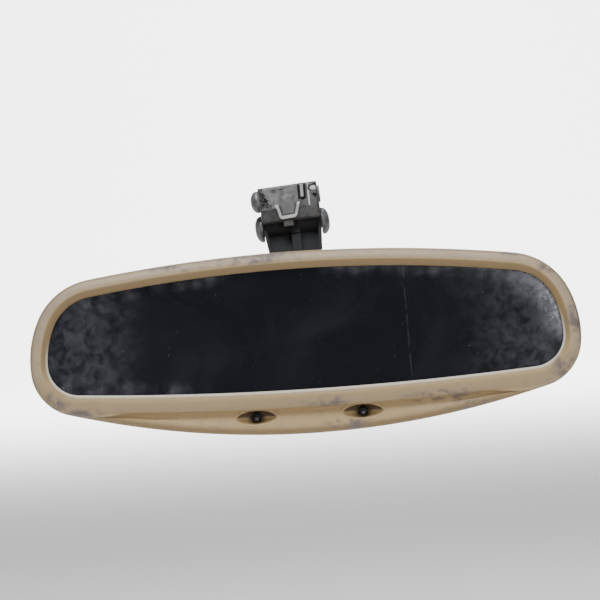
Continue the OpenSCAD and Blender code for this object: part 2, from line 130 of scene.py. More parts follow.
def make_piece(name, points, faces, body, material, replaces=(), values=None, sharp=None):
    """A mesh object from points in metres and corner numbers; values are numbers for each point."""
    mesh = bpy.data.meshes.new(name)
    faces = outward(points, faces)
    faces = faces.tolist() if isinstance(faces, np.ndarray) else [list(map(int, f)) for f in faces]
    mesh.from_pydata(np.asarray(points).reshape(-1, 3).tolist(), [], faces)
    for key, numbers in (values or {}).items():
        layer = mesh.attributes.new(key, "FLOAT", "POINT")
        layer.data.foreach_set("value", np.asarray(numbers, np.float32).ravel())
    mesh.shade_smooth()
    if sharp:
        mesh.set_sharp_from_angle(angle=math.radians(sharp))
    piece = bpy.data.objects.new(name, mesh)
    bpy.context.scene.collection.objects.link(piece)
    mesh.materials.append(bpy.data.materials[material])
    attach(piece, body)
    if replaces:
        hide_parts(*replaces)
    return piece


def closed_rings(rings):
    """Faces of a solid made of rings of points, one row each, with a flat face over either end."""
    rows, columns = rings.shape[:2]
    faces = [list(q) for q in grid_faces(rows, columns, wrap_columns=True)]
    return faces + [list(range(columns))[::-1], list(range((rows - 1) * columns, rows * columns))]


def outward(points, faces):
    """The faces, turned round if the volume inside them comes out negative."""
    p = np.asarray(points).reshape(-1, 3)
    q = p[np.array([f for f in faces if len(f) == 4])]
    total = np.einsum("ij,ij->i", q[:, 0], np.cross(q[:, 1], q[:, 2]) + np.cross(q[:, 2], q[:, 3])).sum()
    if total > 0:
        return faces
    return faces[:, ::-1] if isinstance(faces, np.ndarray) else [list(f)[::-1] for f in faces]


def turned_solid(profile, centre, axis, steps=96):
    """A profile of (radius, distance along the axis) carried round the axis through centre."""
    profile = np.asarray(profile, float)
    a = np.linspace(0, 2 * np.pi, steps, endpoint=False)
    axis = np.asarray(axis, float)
    axis /= np.linalg.norm(axis)
    side = np.cross(axis, [0, 0, 1.0] if abs(axis[2]) < 0.9 else [1.0, 0, 0])
    side /= np.linalg.norm(side)
    up = np.cross(axis, side)
    ring = np.cos(a)[:, None] * side + np.sin(a)[:, None] * up
    return np.asarray(centre) + profile[:, None, :1] * ring[None] + profile[:, None, 1:] * axis


def rounded_corners(corners, radii, steps=6):
    """A polygon whose corners are arcs, each starting radius / tan(half the corner) from the corner."""
    corners = np.asarray(corners, float)
    radii = np.broadcast_to(np.asarray(radii, float), len(corners))
    before, after = np.roll(corners, 1, 0) - corners, np.roll(corners, -1, 0) - corners
    before /= np.linalg.norm(before, axis=1)[:, None]
    after /= np.linalg.norm(after, axis=1)[:, None]
    half = np.arccos(np.clip((before * after).sum(1), -1, 1)) / 2
    reach = (radii / np.tan(half))[:, None]
    t = np.linspace(0, 1, steps)[None, :, None]
    a, b = (corners + before * reach)[:, None], (corners + after * reach)[:, None]
    bent = (1 - t) ** 2 * a + 2 * t * (1 - t) * corners[:, None] + t**2 * b
    return bent.reshape(-1, 2)


def inset_outline(outline, inset):
    """A closed outline whose edges are moved by inset: each point goes along the mean of two normals."""
    forward = np.roll(outline, -1, 0) - outline
    forward /= np.maximum(np.linalg.norm(forward, axis=1)[:, None], 1e-9)
    normal = np.stack([-forward[:, 1], forward[:, 0]], 1)
    mean = normal + np.roll(normal, 1, 0)
    mean /= np.maximum((mean * mean).sum(1)[:, None] / 2, 0.4)
    area = (outline[:, 0] * np.roll(outline[:, 1], -1) - np.roll(outline[:, 0], -1) * outline[:, 1]).sum()
    return outline + mean * inset * (1 if area > 0 else -1)


# ---- The outlines of glass and case -----------------------------------------------------------------


class Outline:
    """A shape of five arcs on each side that run into each other, the left side the mirror of the right.

    Half width, top, bottom and height of the widest place come first, then the radii of the top, upper
    corner, end, lower corner and bottom arcs. A corner's centre is where two circles meet: one about each neighbour's
    centre, with the difference of the two radii.
    """

    def __init__(self, half, top, bottom, wide_z, r_top, r_upper, r_end, r_lower, r_bottom):
        tops, ends = np.array([0, top - r_top]), np.array([half - r_end, wide_z])
        bottoms = np.array([0, bottom + r_bottom])
        upper = self.meeting(tops, r_top - r_upper, ends, r_end - r_upper)
        lower = self.meeting(ends, r_end - r_lower, bottoms, r_bottom - r_lower)
        turn = lambda v: math.atan2(v[1], v[0])
        self.centres = np.array([bottoms, lower, ends, upper, tops])
        self.radii = np.array([r_bottom, r_lower, r_end, r_upper, r_top])
        marks = [-math.pi / 2, turn(lower - bottoms), turn(lower - ends), turn(upper - ends),
                 turn(upper - tops)]
        self.marks = np.array([*marks, math.pi / 2])

    @staticmethod
    def meeting(c1, r1, c2, r2):
        d = np.linalg.norm(c2 - c1)
        a = (r1 * r1 - r2 * r2 + d * d) / (2 * d)
        u = (c2 - c1) / d
        return c1 + a * u + math.sqrt(r1 * r1 - a * a) * np.array([u[1], -u[0]])

    def at(self, way):
        """Points and outward directions at way, 0 to 5 up the right side and 5 to 10 down the left."""
        way = np.asarray(way, float)
        right = np.where(way > 5, 10 - way, way)
        k = np.minimum(right.astype(int), 4)
        angle = mix(self.marks[k], self.marks[k + 1], right - k)
        out = np.stack([np.cos(angle), np.sin(angle)], -1)
        points = self.centres[k] + self.radii[k][:, None] * out
        side = np.where(way > 5, -1.0, 1.0)[:, None] * [1, 0] + [0, 1]
        return points * side, out * side


def round_trip(bottom, lower, end, upper, top):
    """The whole way round, from shares of each arc of the right side."""
    right = np.concatenate([k + np.asarray(s) for k, s in enumerate((bottom, lower, end, upper, top))])
    return np.concatenate([right, [5.0], 10 - right[:0:-1]])


def shares(n):
    return np.linspace(0, 1, n, endpoint=False)


# ---- Sizes and colours a user would change ----------------------------------------------------------


def millimetres(name, text, default, low, high):
    return bpy.props.FloatProperty(name=name, description=text, default=default, min=low, max=high)


def colour(name, text, default):
    return bpy.props.FloatVectorProperty(
        name=name, description=text, subtype="COLOR", size=3, min=0, max=1, default=default
    )


class MIRROR_PG_case(bpy.types.PropertyGroup):
    crown: millimetres("Crown", "Distance from the glass to the rim's highest line, in mm", 3.9, 3, 5)
    crown_rise: millimetres("Crown rise", "Height of that line before the glass, in mm", 3.1, 2, 3.2)
    lamp_recess: millimetres("Lamp recess", "Depth of the two lamp recesses, in mm", 4.6, 3, 6)
    beige: colour("Beige", "Moulded colour of bezel and case", (0.50, 0.362, 0.187))
    # Greyer faded tone of the outer faces; the bezel lays more of it on upward faces, where it stands in for cool top
    # light (painted light).
    fading_and_top_light: colour("Dust", "Greyer tone of the faded outer faces", (0.405, 0.325, 0.235))
    grime: colour("Grime", "Dirt in corners and round the lamps", (0.17, 0.135, 0.12))


class MIRROR_PG_glass(bpy.types.PropertyGroup):
    dark: colour("Dark", "Colour of the dimmed glass", (0.0065, 0.0075, 0.011))
    cloud: colour("Cloud", "Colour of the places where the gel has leaked", (0.15, 0.153, 0.175))
    leak: bpy.props.FloatProperty(name="Leak", description="How far the gel has leaked in from the edge",
                                  default=1.0, min=0, max=2, subtype="FACTOR")


class MIRROR_PG_mount(bpy.types.PropertyGroup):
    metal: colour("Cast metal", "Colour of the cast shoe", (0.135, 0.139, 0.150))
    plate: colour("Scarred plate", "Colour of the worn clip plate", (0.215, 0.22, 0.235))
    stay: colour("Stay", "Colour of the coated stay", (0.015, 0.017, 0.0225))


class MIRROR_PG_studio(bpy.types.PropertyGroup):
    floor: colour("Floor", "Colour of floor and backdrop", (0.97, 0.97, 0.97))
    roll: bpy.props.FloatProperty(name="Roll", description="Turn of the camera about its view",
                                  default=math.radians(3.7), subtype="ANGLE")
    side: bpy.props.FloatProperty(name="Side", description="How far round to the right the camera stands",
                                  default=math.radians(1.04), subtype="ANGLE")
    rise: bpy.props.FloatProperty(name="Rise", description="How far above level the camera looks from",
                                  default=math.radians(1.2), subtype="ANGLE")
    view_width: bpy.props.FloatProperty(name="View width", description="Width of the view at the glass",
                                        default=0.2772, min=0.1, max=2, unit="LENGTH")


# ---- Shader groups ----------------------------------------------------------------------------------


def add(tree, kind, inputs=None, **settings):
    """A node with its settings, and its inputs set to a value or linked to another node's output."""
    made = tree.nodes.new(kind)
    for key, value in settings.items():
        setattr(made, key, value)
    for key, value in (inputs or {}).items():
        if isinstance(value, bpy.types.NodeSocket):
            tree.links.new(value, made.inputs[key])
        else:
            made.inputs[key].default_value = value
    return made


def new_group(name, inputs, outputs):
    """An empty shader group: inputs map to (kind, default), outputs to a kind."""
    tree = bpy.data.node_groups.new(name, "ShaderNodeTree")
    for key, (kind, default) in inputs.items():
        socket = tree.interface.new_socket(key, in_out="INPUT", socket_type="NodeSocket" + kind)
        if default is not None:
            socket.default_value = default
    for key, kind in outputs.items():
        tree.interface.new_socket(key, in_out="OUTPUT", socket_type="NodeSocket" + kind)
    return tree, add(tree, "NodeGroupInput").outputs, add(tree, "NodeGroupOutput").inputs


def maths(tree, operation, a, b=0.5, c=0.5):
    return add(tree, "ShaderNodeMath", {0: a, 1: b, 2: c}, operation=operation).outputs[0]


def times(tree, first, *others):
    """The product of several values."""
    for other in others:
        first = maths(tree, "MULTIPLY", first, other)
    return first


def vectors(tree, operation, a, b):
    made = add(tree, "ShaderNodeVectorMath", {0: a, 1: b}, operation=operation)
    return made.outputs["Value" if operation in ("LENGTH", "DISTANCE", "DOT_PRODUCT") else "Vector"]


def fade(tree, value, low, high):
    """0 below low and 1 above high, with a soft curve between them; it falls where low is above high."""
    return add(tree, "ShaderNodeMapRange", {"Value": value, "From Min": low, "From Max": high},
               interpolation_type="SMOOTHSTEP").outputs[0]


def blend(tree, share, a, b):
    made = add(tree, "ShaderNodeMix", data_type="RGBA")
    for socket, value in ((made.inputs[0], share), (made.inputs[6], a), (made.inputs[7], b)):
        if isinstance(value, bpy.types.NodeSocket):
            tree.links.new(value, socket)
        else:
            socket.default_value = (*value, 1) if hasattr(value, "__len__") and len(value) == 3 else value
    return made.outputs[2]


def patches_group():
    """Soft-edged patches: noise of a given size, faded between two levels."""
    tree, given, out = new_group(
        "Patches",
        {"Position": ("Vector", None), "Per metre": ("Float", 100.0), "Detail": ("Float", 4.0),
         "Ragged": ("Float", 0.5), "From": ("Float", 0.5), "To": ("Float", 0.6)}, {"Mask": "Float"})
    noise = add(tree, "ShaderNodeTexNoise", {"Vector": given["Position"], "Scale": given["Per metre"],
                                             "Detail": given["Detail"], "Distortion": given["Ragged"]})
    spread = add(tree, "ShaderNodeMapRange", {"Value": noise.outputs["Fac"], "From Min": given["From"],
                                              "From Max": given["To"]}, interpolation_type="SMOOTHSTEP")
    tree.links.new(spread.outputs[0], out["Mask"])
    return tree


def spot_group():
    """A soft round spot: 1 within half its radius, 0 beyond it, its edge stirred by noise."""
    tree, given, out = new_group(
        "Spot", {"Position": ("Vector", None), "Centre": ("Vector", None), "Radius": ("Float", 0.01),
                 "Stretch": ("Vector", (1.0, 1.0, 1.0))}, {"Mask": "Float"})
    away = vectors(tree, "SUBTRACT", given["Position"], given["Centre"])
    away = vectors(tree, "MULTIPLY", away, given["Stretch"])
    distance = vectors(tree, "LENGTH", away, (0, 0, 0))
    noise = add(tree, "ShaderNodeTexNoise", {"Vector": given["Position"], "Scale": 260.0, "Detail": 5.0})
    stirred = maths(tree, "MULTIPLY", distance, maths(tree, "ADD", noise.outputs["Fac"], 0.5))
    near = maths(tree, "DIVIDE", stirred, given["Radius"])
    tree.links.new(fade(tree, near, 1.0, 0.35), out["Mask"])
    return tree


def grain_group():
    """Moulded or cast grain: fine noise and small rounded cells, added with given weights."""
    tree, given, out = new_group(
        "Grain", {"Position": ("Vector", None), "Per metre": ("Float", 2500.0), "Cells": ("Float", 0.5)},
        {"Height": "Float"})
    noise = add(tree, "ShaderNodeTexNoise", {"Vector": given["Position"], "Scale": given["Per metre"],
                                             "Detail": 3.0, "Roughness": 0.6})
    cells = add(tree, "ShaderNodeTexVoronoi", {"Vector": given["Position"], "Scale": given["Per metre"]},
                feature="SMOOTH_F1")
    both = maths(tree, "MULTIPLY_ADD", cells.outputs["Distance"], given["Cells"], noise.outputs["Fac"])
    tree.links.new(both, out["Height"])
    return tree


def scratches_group():
    """Thin streaks: noise pulled out along one direction, kept only at its highest values."""
    tree, given, out = new_group(
        "Scratches", {"Position": ("Vector", None), "Turn": ("Vector", None), "Per metre": ("Float", 300.0),
                      "Thin": ("Float", 14.0), "From": ("Float", 0.66)}, {"Mask": "Float"})
    turned = add(tree, "ShaderNodeVectorRotate", {"Vector": given["Position"], "Rotation": given["Turn"]},
                 rotation_type="EULER_XYZ").outputs[0]
    pulled = add(tree, "ShaderNodeCombineXYZ", {"X": given["Thin"], "Y": given["Thin"], "Z": 1.0}).outputs[0]
    noise = add(tree, "ShaderNodeTexNoise", {"Vector": vectors(tree, "MULTIPLY", turned, pulled),
                                             "Scale": given["Per metre"], "Detail": 2.0})
    high = maths(tree, "ADD", given["From"], 0.05)
    spread = add(tree, "ShaderNodeMapRange", {"Value": noise.outputs["Fac"], "From Min": given["From"],
                                              "From Max": high}, interpolation_type="SMOOTHSTEP")
    tree.links.new(spread.outputs[0], out["Mask"])
    return tree


GROUP_MAKERS = {
    "Patches": patches_group, "Spot": spot_group, "Grain": grain_group, "Scratches": scratches_group,
}


def effect(tree, name, **inputs):
    """One of the shared groups, placed in a material with its own values; its only output."""
    group = bpy.data.node_groups.get(name) or GROUP_MAKERS[name]()
    made = add(tree, "ShaderNodeGroup", node_tree=group)
    for key, value in inputs.items():
        key = key.replace("_", " ")
        if isinstance(value, bpy.types.NodeSocket):
            tree.links.new(value, made.inputs[key])
        else:
            made.inputs[key].default_value = value
    return made.outputs[0]


def patches(tree, place, per_metre, low, high, detail=4.0, ragged=0.5):
    return effect(tree, "Patches", Position=place, Per_metre=per_metre, From=low, To=high, Detail=detail,
                  Ragged=ragged)


def attributes(tree, *names):
    """The numbers that the piece's points carry under the names."""
    return [add(tree, "ShaderNodeAttribute", attribute_name=name).outputs["Fac"] for name in names]


def scaled(colour, *shares):
    """A colour times one share or one share for each channel, at most 1."""
    return tuple(np.minimum(np.array(colour) * shares, 1))


# ---- Finishes ---------------------------------------------------------------------------------------


def new_finish(name, **plain):
    """A material with its Principled shader, the plain values set on the shader's own sockets."""
    made = bpy.data.materials.new(name)
    made.use_nodes = True
    shader = made.node_tree.nodes["Principled BSDF"]
    for key, value in plain.items():
        socket = shader.inputs[key.replace("_", " ")]
        socket.default_value = (*value, 1) if hasattr(value, "__len__") and len(value) == 3 else value
    place = add(made.node_tree, "ShaderNodeTexCoord").outputs["Object"]
    return made, made.node_tree, shader, place


def set_bump(tree, shader, height, distance, strength=1.0):
    bump = add(tree, "ShaderNodeBump", {"Height": height, "Distance": distance, "Strength": strength})
    tree.links.new(bump.outputs[0], shader.inputs["Normal"])


# Painted highlight on the up-facing inner lip at the bottom of the bezel.
LIP_HIGHLIGHT = (0.78, 0.75, 0.68)
# Painted deep shade in the lamp recesses.
RECESS_SHADE_BROWN = (0.05, 0.03, 0.016)
# Grime: the middle of each spot and its radius in mm, and how much it is squeezed along each axis
GRIME_SPOTS = (
    ((21, 0, -45.2), 7, (0.8, 0.2, 1.6)),
    ((12, 0, -44.5), 5, (1, 0.2, 1.6)),
    ((9, 0, -34), 8, (0.6, 0.2, 2.2)),
    ((-117, 0, -26), 8, (0.8, 0.8, 1.3)),
    ((-104, 0, -33), 8, (0.6, 0.8, 2)),
    ((120, 0, -25), 9, (0.8, 0.8, 1.2)),
    ((113, 0, -30), 5, (1, 0.8, 1.2)),
    ((114, 0, 21.5), 7, (1, 0.8, 1.6)),
    ((97, 0, 30), 8, (0.6, 0.8, 2)),
    ((72, 0, -40), 9, (0.5, 0.8, 2.4)),
    ((-58, 0, 33), 9, (0.4, 0.8, 2.4)),
    ((-20, 0, 34), 10, (0.4, 0.8, 2.4)),
    ((60, 0, -34.5), 9, (0.4, 0.2, 2.6)),
    ((125, 0, -2), 10, (2, 0.8, 0.7)),
)


def case_finish(context):
    """Beige moulded plastic: slow changes of tone, fine grain, a greyer faded tone on the outer faces that is
    stronger on upward faces as painted top light, painted shade in creases, on down-facing slopes, along the outer
    edges and in the lamp recesses, a painted highlight on the lower inner lip, and grime in corners and near the
    right lamp.
    """
    look = context.scene.mirror_case
    made, tree, shader, place = new_finish("case plastic", IOR=1.46)
    beige, grey = tuple(look.beige), tuple(look.fading_and_top_light)
    slow = patches(tree, place, 24.0, 0.3, 0.72, 6.0)
    tone = blend(tree, slow, scaled(beige, 0.96, 0.95, 0.92), scaled(beige, 1.03, 1.03, 1.05))
    fading_and_top_light_mask, painted_shade, lip, recess_shade = attributes(tree, "fading_and_top_light", "painted_shade", "lip", "recess_shade")
    blotch = patches(tree, place, 55.0, 0.25, 0.7, 7.0, 0.7)
    tone = blend(tree, times(tree, fading_and_top_light_mask, maths(tree, "MULTIPLY_ADD", blotch, 0.45, 0.55)), tone, grey)
    fine = patches(tree, place, 240.0, 0.45, 0.8, 8.0)
    # Random grey speckle, then painted shade (creases, down-facing slopes, outer edges), the painted highlight on the
    # lower inner lip and painted deep shade in the lamp recesses.
    for mask, strength, colour_there in (
        (fine, 0.42, scaled(grey, 0.72, 0.68, 0.66)), (painted_shade, 0.5, scaled(beige, 0.5, 0.46, 0.4)),
        (lip, 0.75, LIP_HIGHLIGHT), (recess_shade, 0.93, RECESS_SHADE_BROWN),
    ):
        tone = blend(tree, times(tree, mask, strength), tone, colour_there)
    dirt = None
    for centre, radius, stretch in GRIME_SPOTS:
        mask = effect(tree, "Spot", Position=place, Centre=tuple(in_head(centre)), Radius=radius / 1000,
                      Stretch=stretch)
        dirt = mask if dirt is None else maths(tree, "MAXIMUM", dirt, mask)
    ragged = patches(tree, place, 210.0, 0.36, 0.62, 9.0, 0.4)
    tone = blend(tree, times(tree, dirt, ragged), tone, tuple(look.grime))
    tree.links.new(tone, shader.inputs["Base Color"])
    rough = maths(tree, "MULTIPLY_ADD", slow, 0.08, 0.5)
    tree.links.new(rough, shader.inputs["Roughness"])
    grain = effect(tree, "Grain", Position=place, Per_metre=2300.0, Cells=0.4)
    set_bump(tree, shader, grain, 0.00006, 0.5)
    return made


def glass_finish(context):
    """Dimmed glass with cloudy places where the gel has leaked, strongest at the right end and upper right edge.

    The piece's edge value is the distance from the rim in mm. The cloud is noise that fades with that distance,
    times weights for places along the rim, with bright curls where the edge has come loose.
    """
    look = context.scene.mirror_glass
    made, tree, shader, place = new_finish("dimmed glass", IOR=1.5, Specular_IOR_Level=0.34)
    edge, = attributes(tree, "edge")
    local = vectors(tree, "SUBTRACT", place, tuple(GLASS_HOME))
    parts = add(tree, "ShaderNodeSeparateXYZ", {0: local})
    x, z = parts.outputs[0], parts.outputs[2]
    cloud = tuple(look.cloud)

    def rim(inner):
        return fade(tree, edge, inner * look.leak, 0.0)

    wide = patches(tree, place, 26.0, 0.38, 0.72, 5.0, 1.0)
    drawn = vectors(tree, "MULTIPLY", place, (0.35, 1.0, 1.0))
    wisps = patches(tree, drawn, 150.0, 0.3, 0.75, 9.0, 0.6)
    fine = patches(tree, place, 90.0, 0.38, 0.74, 12.0, 0.35)
    mottle = patches(tree, place, 230.0, 0.25, 0.8, 12.0, 0.5)
    ends = maths(tree, "MAXIMUM", fade(tree, x, 0.062, 0.112), times(tree, fade(tree, x, -0.068, -0.1), 0.95))
    haze = times(tree, ends, mottle, 0.3)
    upper = fade(tree, z, -0.012, 0.006)
    thin_top = times(tree, fade(tree, x, 0.005, 0.02), fade(tree, x, 0.085, 0.05), 0.45)
    along_top = maths(tree, "ADD", fade(tree, x, 0.05, 0.085), thin_top)
    right_top = times(tree, along_top, upper, rim(6.5), maths(tree, "MULTIPLY_ADD", wisps, 0.85, 0.1))
    right_end = times(tree, fade(tree, x, 0.088, 0.108), fade(tree, z, -0.013, -0.006), rim(13.0),
                      maths(tree, "MULTIPLY_ADD", fine, 0.9, 0.25))
    left_top = times(tree, fade(tree, x, -0.108, -0.098), fade(tree, x, -0.03, -0.048), upper, rim(6.5))
    left_low = times(tree, fade(tree, x, -0.116, -0.106), fade(tree, x, -0.04, -0.066),
                     fade(tree, z, -0.010, -0.018), rim(8.0))
    left = times(tree, maths(tree, "ADD", left_top, left_low), fine, 0.62)
    right = maths(tree, "ADD", right_top, right_end)
    leak = maths(tree, "MINIMUM", maths(tree, "ADD", maths(tree, "ADD", haze, left), right), 1.0)
    core = times(tree, fade(tree, x, 0.106, 0.114), rim(4.0), fade(tree, z, -0.016, -0.008), wisps)
    curls = add(tree, "ShaderNodeTexNoise",
                {"Vector": place, "Scale": 170.0, "Detail": 1.5, "Distortion": 1.3})
    ridge = maths(tree, "ABSOLUTE", maths(tree, "SUBTRACT", curls.outputs["Fac"], 0.5))
    curl = times(tree, fade(tree, ridge, 0.04, 0.008), fade(tree, x, 0.1, 0.112), rim(9.0),
                 fade(tree, z, -0.008, -0.002), fade(tree, z, 0.017, 0.008), 0.6)
    offset = maths(tree, "SUBTRACT", x, maths(tree, "MULTIPLY_ADD", z, -0.02, 0.0478))
    line = times(tree, fade(tree, maths(tree, "ABSOLUTE", offset), 0.0005, 0.0001),
                 patches(tree, place, 130.0, 0.5, 0.58, 3.0), 0.14)
    # Painted dark rim along the glass edge except at the bottom: partly the black seal, partly painted shadow under
    # the bezel lip.
    gap = times(tree, fade(tree, edge, 0.75, 0.35), fade(tree, z, -0.024, -0.02))
    chips = times(tree, patches(tree, place, 420.0, 0.64, 0.69, 2.0), rim(1.3), fade(tree, z, 0.0, -0.012))
    specks = patches(tree, place, 900.0, 0.735, 0.79, 1.0, 0.2)
    streaks = effect(tree, "Scratches", Position=place, Turn=(0.0, 0.06, 0.0), Per_metre=34.0, From=0.78)
    marks = times(tree, maths(tree, "MAXIMUM", specks, times(tree, streaks, 0.5)), 0.55)
    tone = blend(tree, wide, tuple(look.dark), scaled(look.dark, 1.8, 1.7, 1.6))
    for mask, colour_there in (
        (leak, cloud), (core, (0.3, 0.3, 0.34)), (curl, (0.40, 0.40, 0.45)), (line, cloud),
        (gap, (0.001, 0.001, 0.0012)), (chips, (0.62, 0.61, 0.6)), (marks, scaled(cloud, 0.8)),
    ):
        tone = blend(tree, mask, tone, colour_there)
    tree.links.new(tone, shader.inputs["Base Color"])
    rough = maths(tree, "MULTIPLY_ADD", wide, 0.05, maths(tree, "MULTIPLY_ADD", leak, 0.3, 0.11))
    tree.links.new(rough, shader.inputs["Roughness"])
    height = times(tree, maths(tree, "ADD", curls.outputs["Fac"], fine), leak)
    set_bump(tree, shader, height, 0.0006, 0.35)
    return made


def metal_finish(name, base, light, rough, metallic, pits=0.0, scratch=0.0, per_metre=180.0, **plain):
    """Cast or pressed metal: mottled tone, scratches, dark pits, and grain in the bump; two point tones paint
    highlights (with a few real lighter blotches) and shade (with real stains and scars).
    """
    made, tree, shader, place = new_finish(name, Metallic=metallic, **plain)
    cloudy = patches(tree, place, per_metre, 0.36, 0.68, 7.0, 1.0)
    tone = blend(tree, cloudy, tuple(base), tuple(light))
    height = effect(tree, "Grain", Position=place, Per_metre=1900.0, Cells=0.5)
    if scratch:
        lines = effect(tree, "Scratches", Position=place, Turn=(0.3, 0.5, 0.2), Per_metre=240.0, From=0.62)
        tone = blend(tree, times(tree, lines, scratch), tone, scaled(light, 1.9))
    if pits:
        holes = patches(tree, place, 620.0, 0.62, 0.70, 5.0, 1.5)
        tone = blend(tree, times(tree, holes, pits), tone, scaled(base, 0.25))
        height = maths(tree, "MULTIPLY_ADD", holes, -4.0 * pits, height)
    highlight_and_blotches, shade_and_stains = attributes(tree, "highlight_and_blotches", "shade_and_stains")
    # Painted highlight towards near white, then painted shade with real stains and scars towards near black.
    tone = blend(tree, highlight_and_blotches, tone, (0.95, 0.95, 0.97))
    tone = blend(tree, shade_and_stains, tone, (0.012, 0.012, 0.013))
    tree.links.new(tone, shader.inputs["Base Color"])
    tree.links.new(maths(tree, "MULTIPLY_ADD", cloudy, 0.14, rough), shader.inputs["Roughness"])
    set_bump(tree, shader, height, 0.00005, 0.7)
    return made


def plain_finish(name, base, rough, metallic=0.0, change=0.18, per_metre=260.0, grain=0.00003, **plain):
    """Plastic, rubber or plated metal with small changes of tone and a fine grain."""
    made, tree, shader, place = new_finish(name, Metallic=metallic, **plain)
    cloudy = patches(tree, place, per_metre, 0.3, 0.75)
    tone = blend(tree, cloudy, scaled(base, 1 - change), scaled(base, 1 + change))
    tree.links.new(tone, shader.inputs["Base Color"])
    tree.links.new(maths(tree, "MULTIPLY_ADD", cloudy, 0.1, rough), shader.inputs["Roughness"])
    set_bump(tree, shader, effect(tree, "Grain", Position=place, Per_metre=2600.0), grain, 0.5)
    return made


def board_finish():
    """A circuit board: solder mask with copper tracks as the edges of square cells, and plated pads."""
    made, tree, shader, place = new_finish("solder mask", Roughness=0.35)
    cells = add(tree, "ShaderNodeTexVoronoi", {"Vector": place, "Scale": 330.0}, distance="CHEBYCHEV")
    tracks = fade(tree, cells.outputs["Distance"], 0.42, 0.46)
    pads = fade(tree, cells.outputs["Distance"], 0.12, 0.09)
    tone = blend(tree, tracks, (0.012, 0.09, 0.035), (0.03, 0.19, 0.075))
    tone = blend(tree, pads, tone, (0.55, 0.52, 0.42))
    tree.links.new(tone, shader.inputs["Base Color"])
    set_bump(tree, shader, tracks, 0.00004)
    return made


# ---- Pieces of the case -----------------------------------------------------------------------------

GLASS_EDGE = Outline(119.2, 27.8, -27.8, -10, 686, 22, 43.7, 14.4, 1480)
CASE_EDGE = Outline(127.7, 35.8, -48.7, -9.5, 703, 31.5, 47.9, 22.4, 408)
LAMP_Z = -39.7
SCOOP = (9.65, 3.15)


def scoop_depth(x, z, deep, grow=0.0):
    """How far the lamp recesses go in at (x, z): a ruled wall from an oval rim to the lamp's round hole.

    Along each ray from the lamp the depth rises from 0 at the oval to its full value at radius 2.4, by
    t^0.8 with a rounded start, and a low rim stands round the oval outside.
    """
    dx, dz = np.abs(x) - LAMP_X, z - LAMP_Z
    away = np.maximum(np.hypot(dx, dz), 1e-6)
    rim = 1 / np.sqrt((dx / away / (SCOOP[0] + grow)) ** 2 + (dz / away / (SCOOP[1] + grow)) ** 2)
    t = np.clip((rim - away) / np.maximum(rim - 2.4, 0.2), 0, 1)
    lip = np.exp(-(((away - rim - 0.55) / 0.5) ** 2)) * (away > rim - 0.4)
    return deep * smooth(t * 8) * t**0.7 - 0.3 * lip * (grow == 0)


def cut_corners(points, rounds):
    """Chaikin's rule: each segment a-b becomes the points 3/4 a + 1/4 b and 1/4 a + 3/4 b; the ends stay."""
    for _ in range(rounds):
        a, b = points[:, :-1], points[:, 1:]
        inner = np.stack([0.75 * a + 0.25 * b, 0.25 * a + 0.75 * b], 2).reshape(len(points), -1, 2)
        points = np.concatenate([points[:, :1], inner[:, 1:-1], points[:, -1:]], 1)
    return points


def spaced(points, marks, counts):
    """Each row of points resampled: counts[i] points between the marked shares i and i+1 of its length."""
    step = np.linalg.norm(np.diff(points, axis=1), axis=2)
    length = np.concatenate([np.zeros((len(points), 1)), np.cumsum(step, 1)], 1)
    rows = []
    for row, run, mark in zip(points, length, marks):
        spans = [np.linspace(a, b, n, endpoint=False) for a, b, n in zip(mark, mark[1:], counts)]
        want = np.concatenate(spans + [mark[-1:]])
        rows.append(np.stack([np.interp(want * run[-1], run, row[:, k]) for k in (0, 1)], 1))
    return np.array(rows)


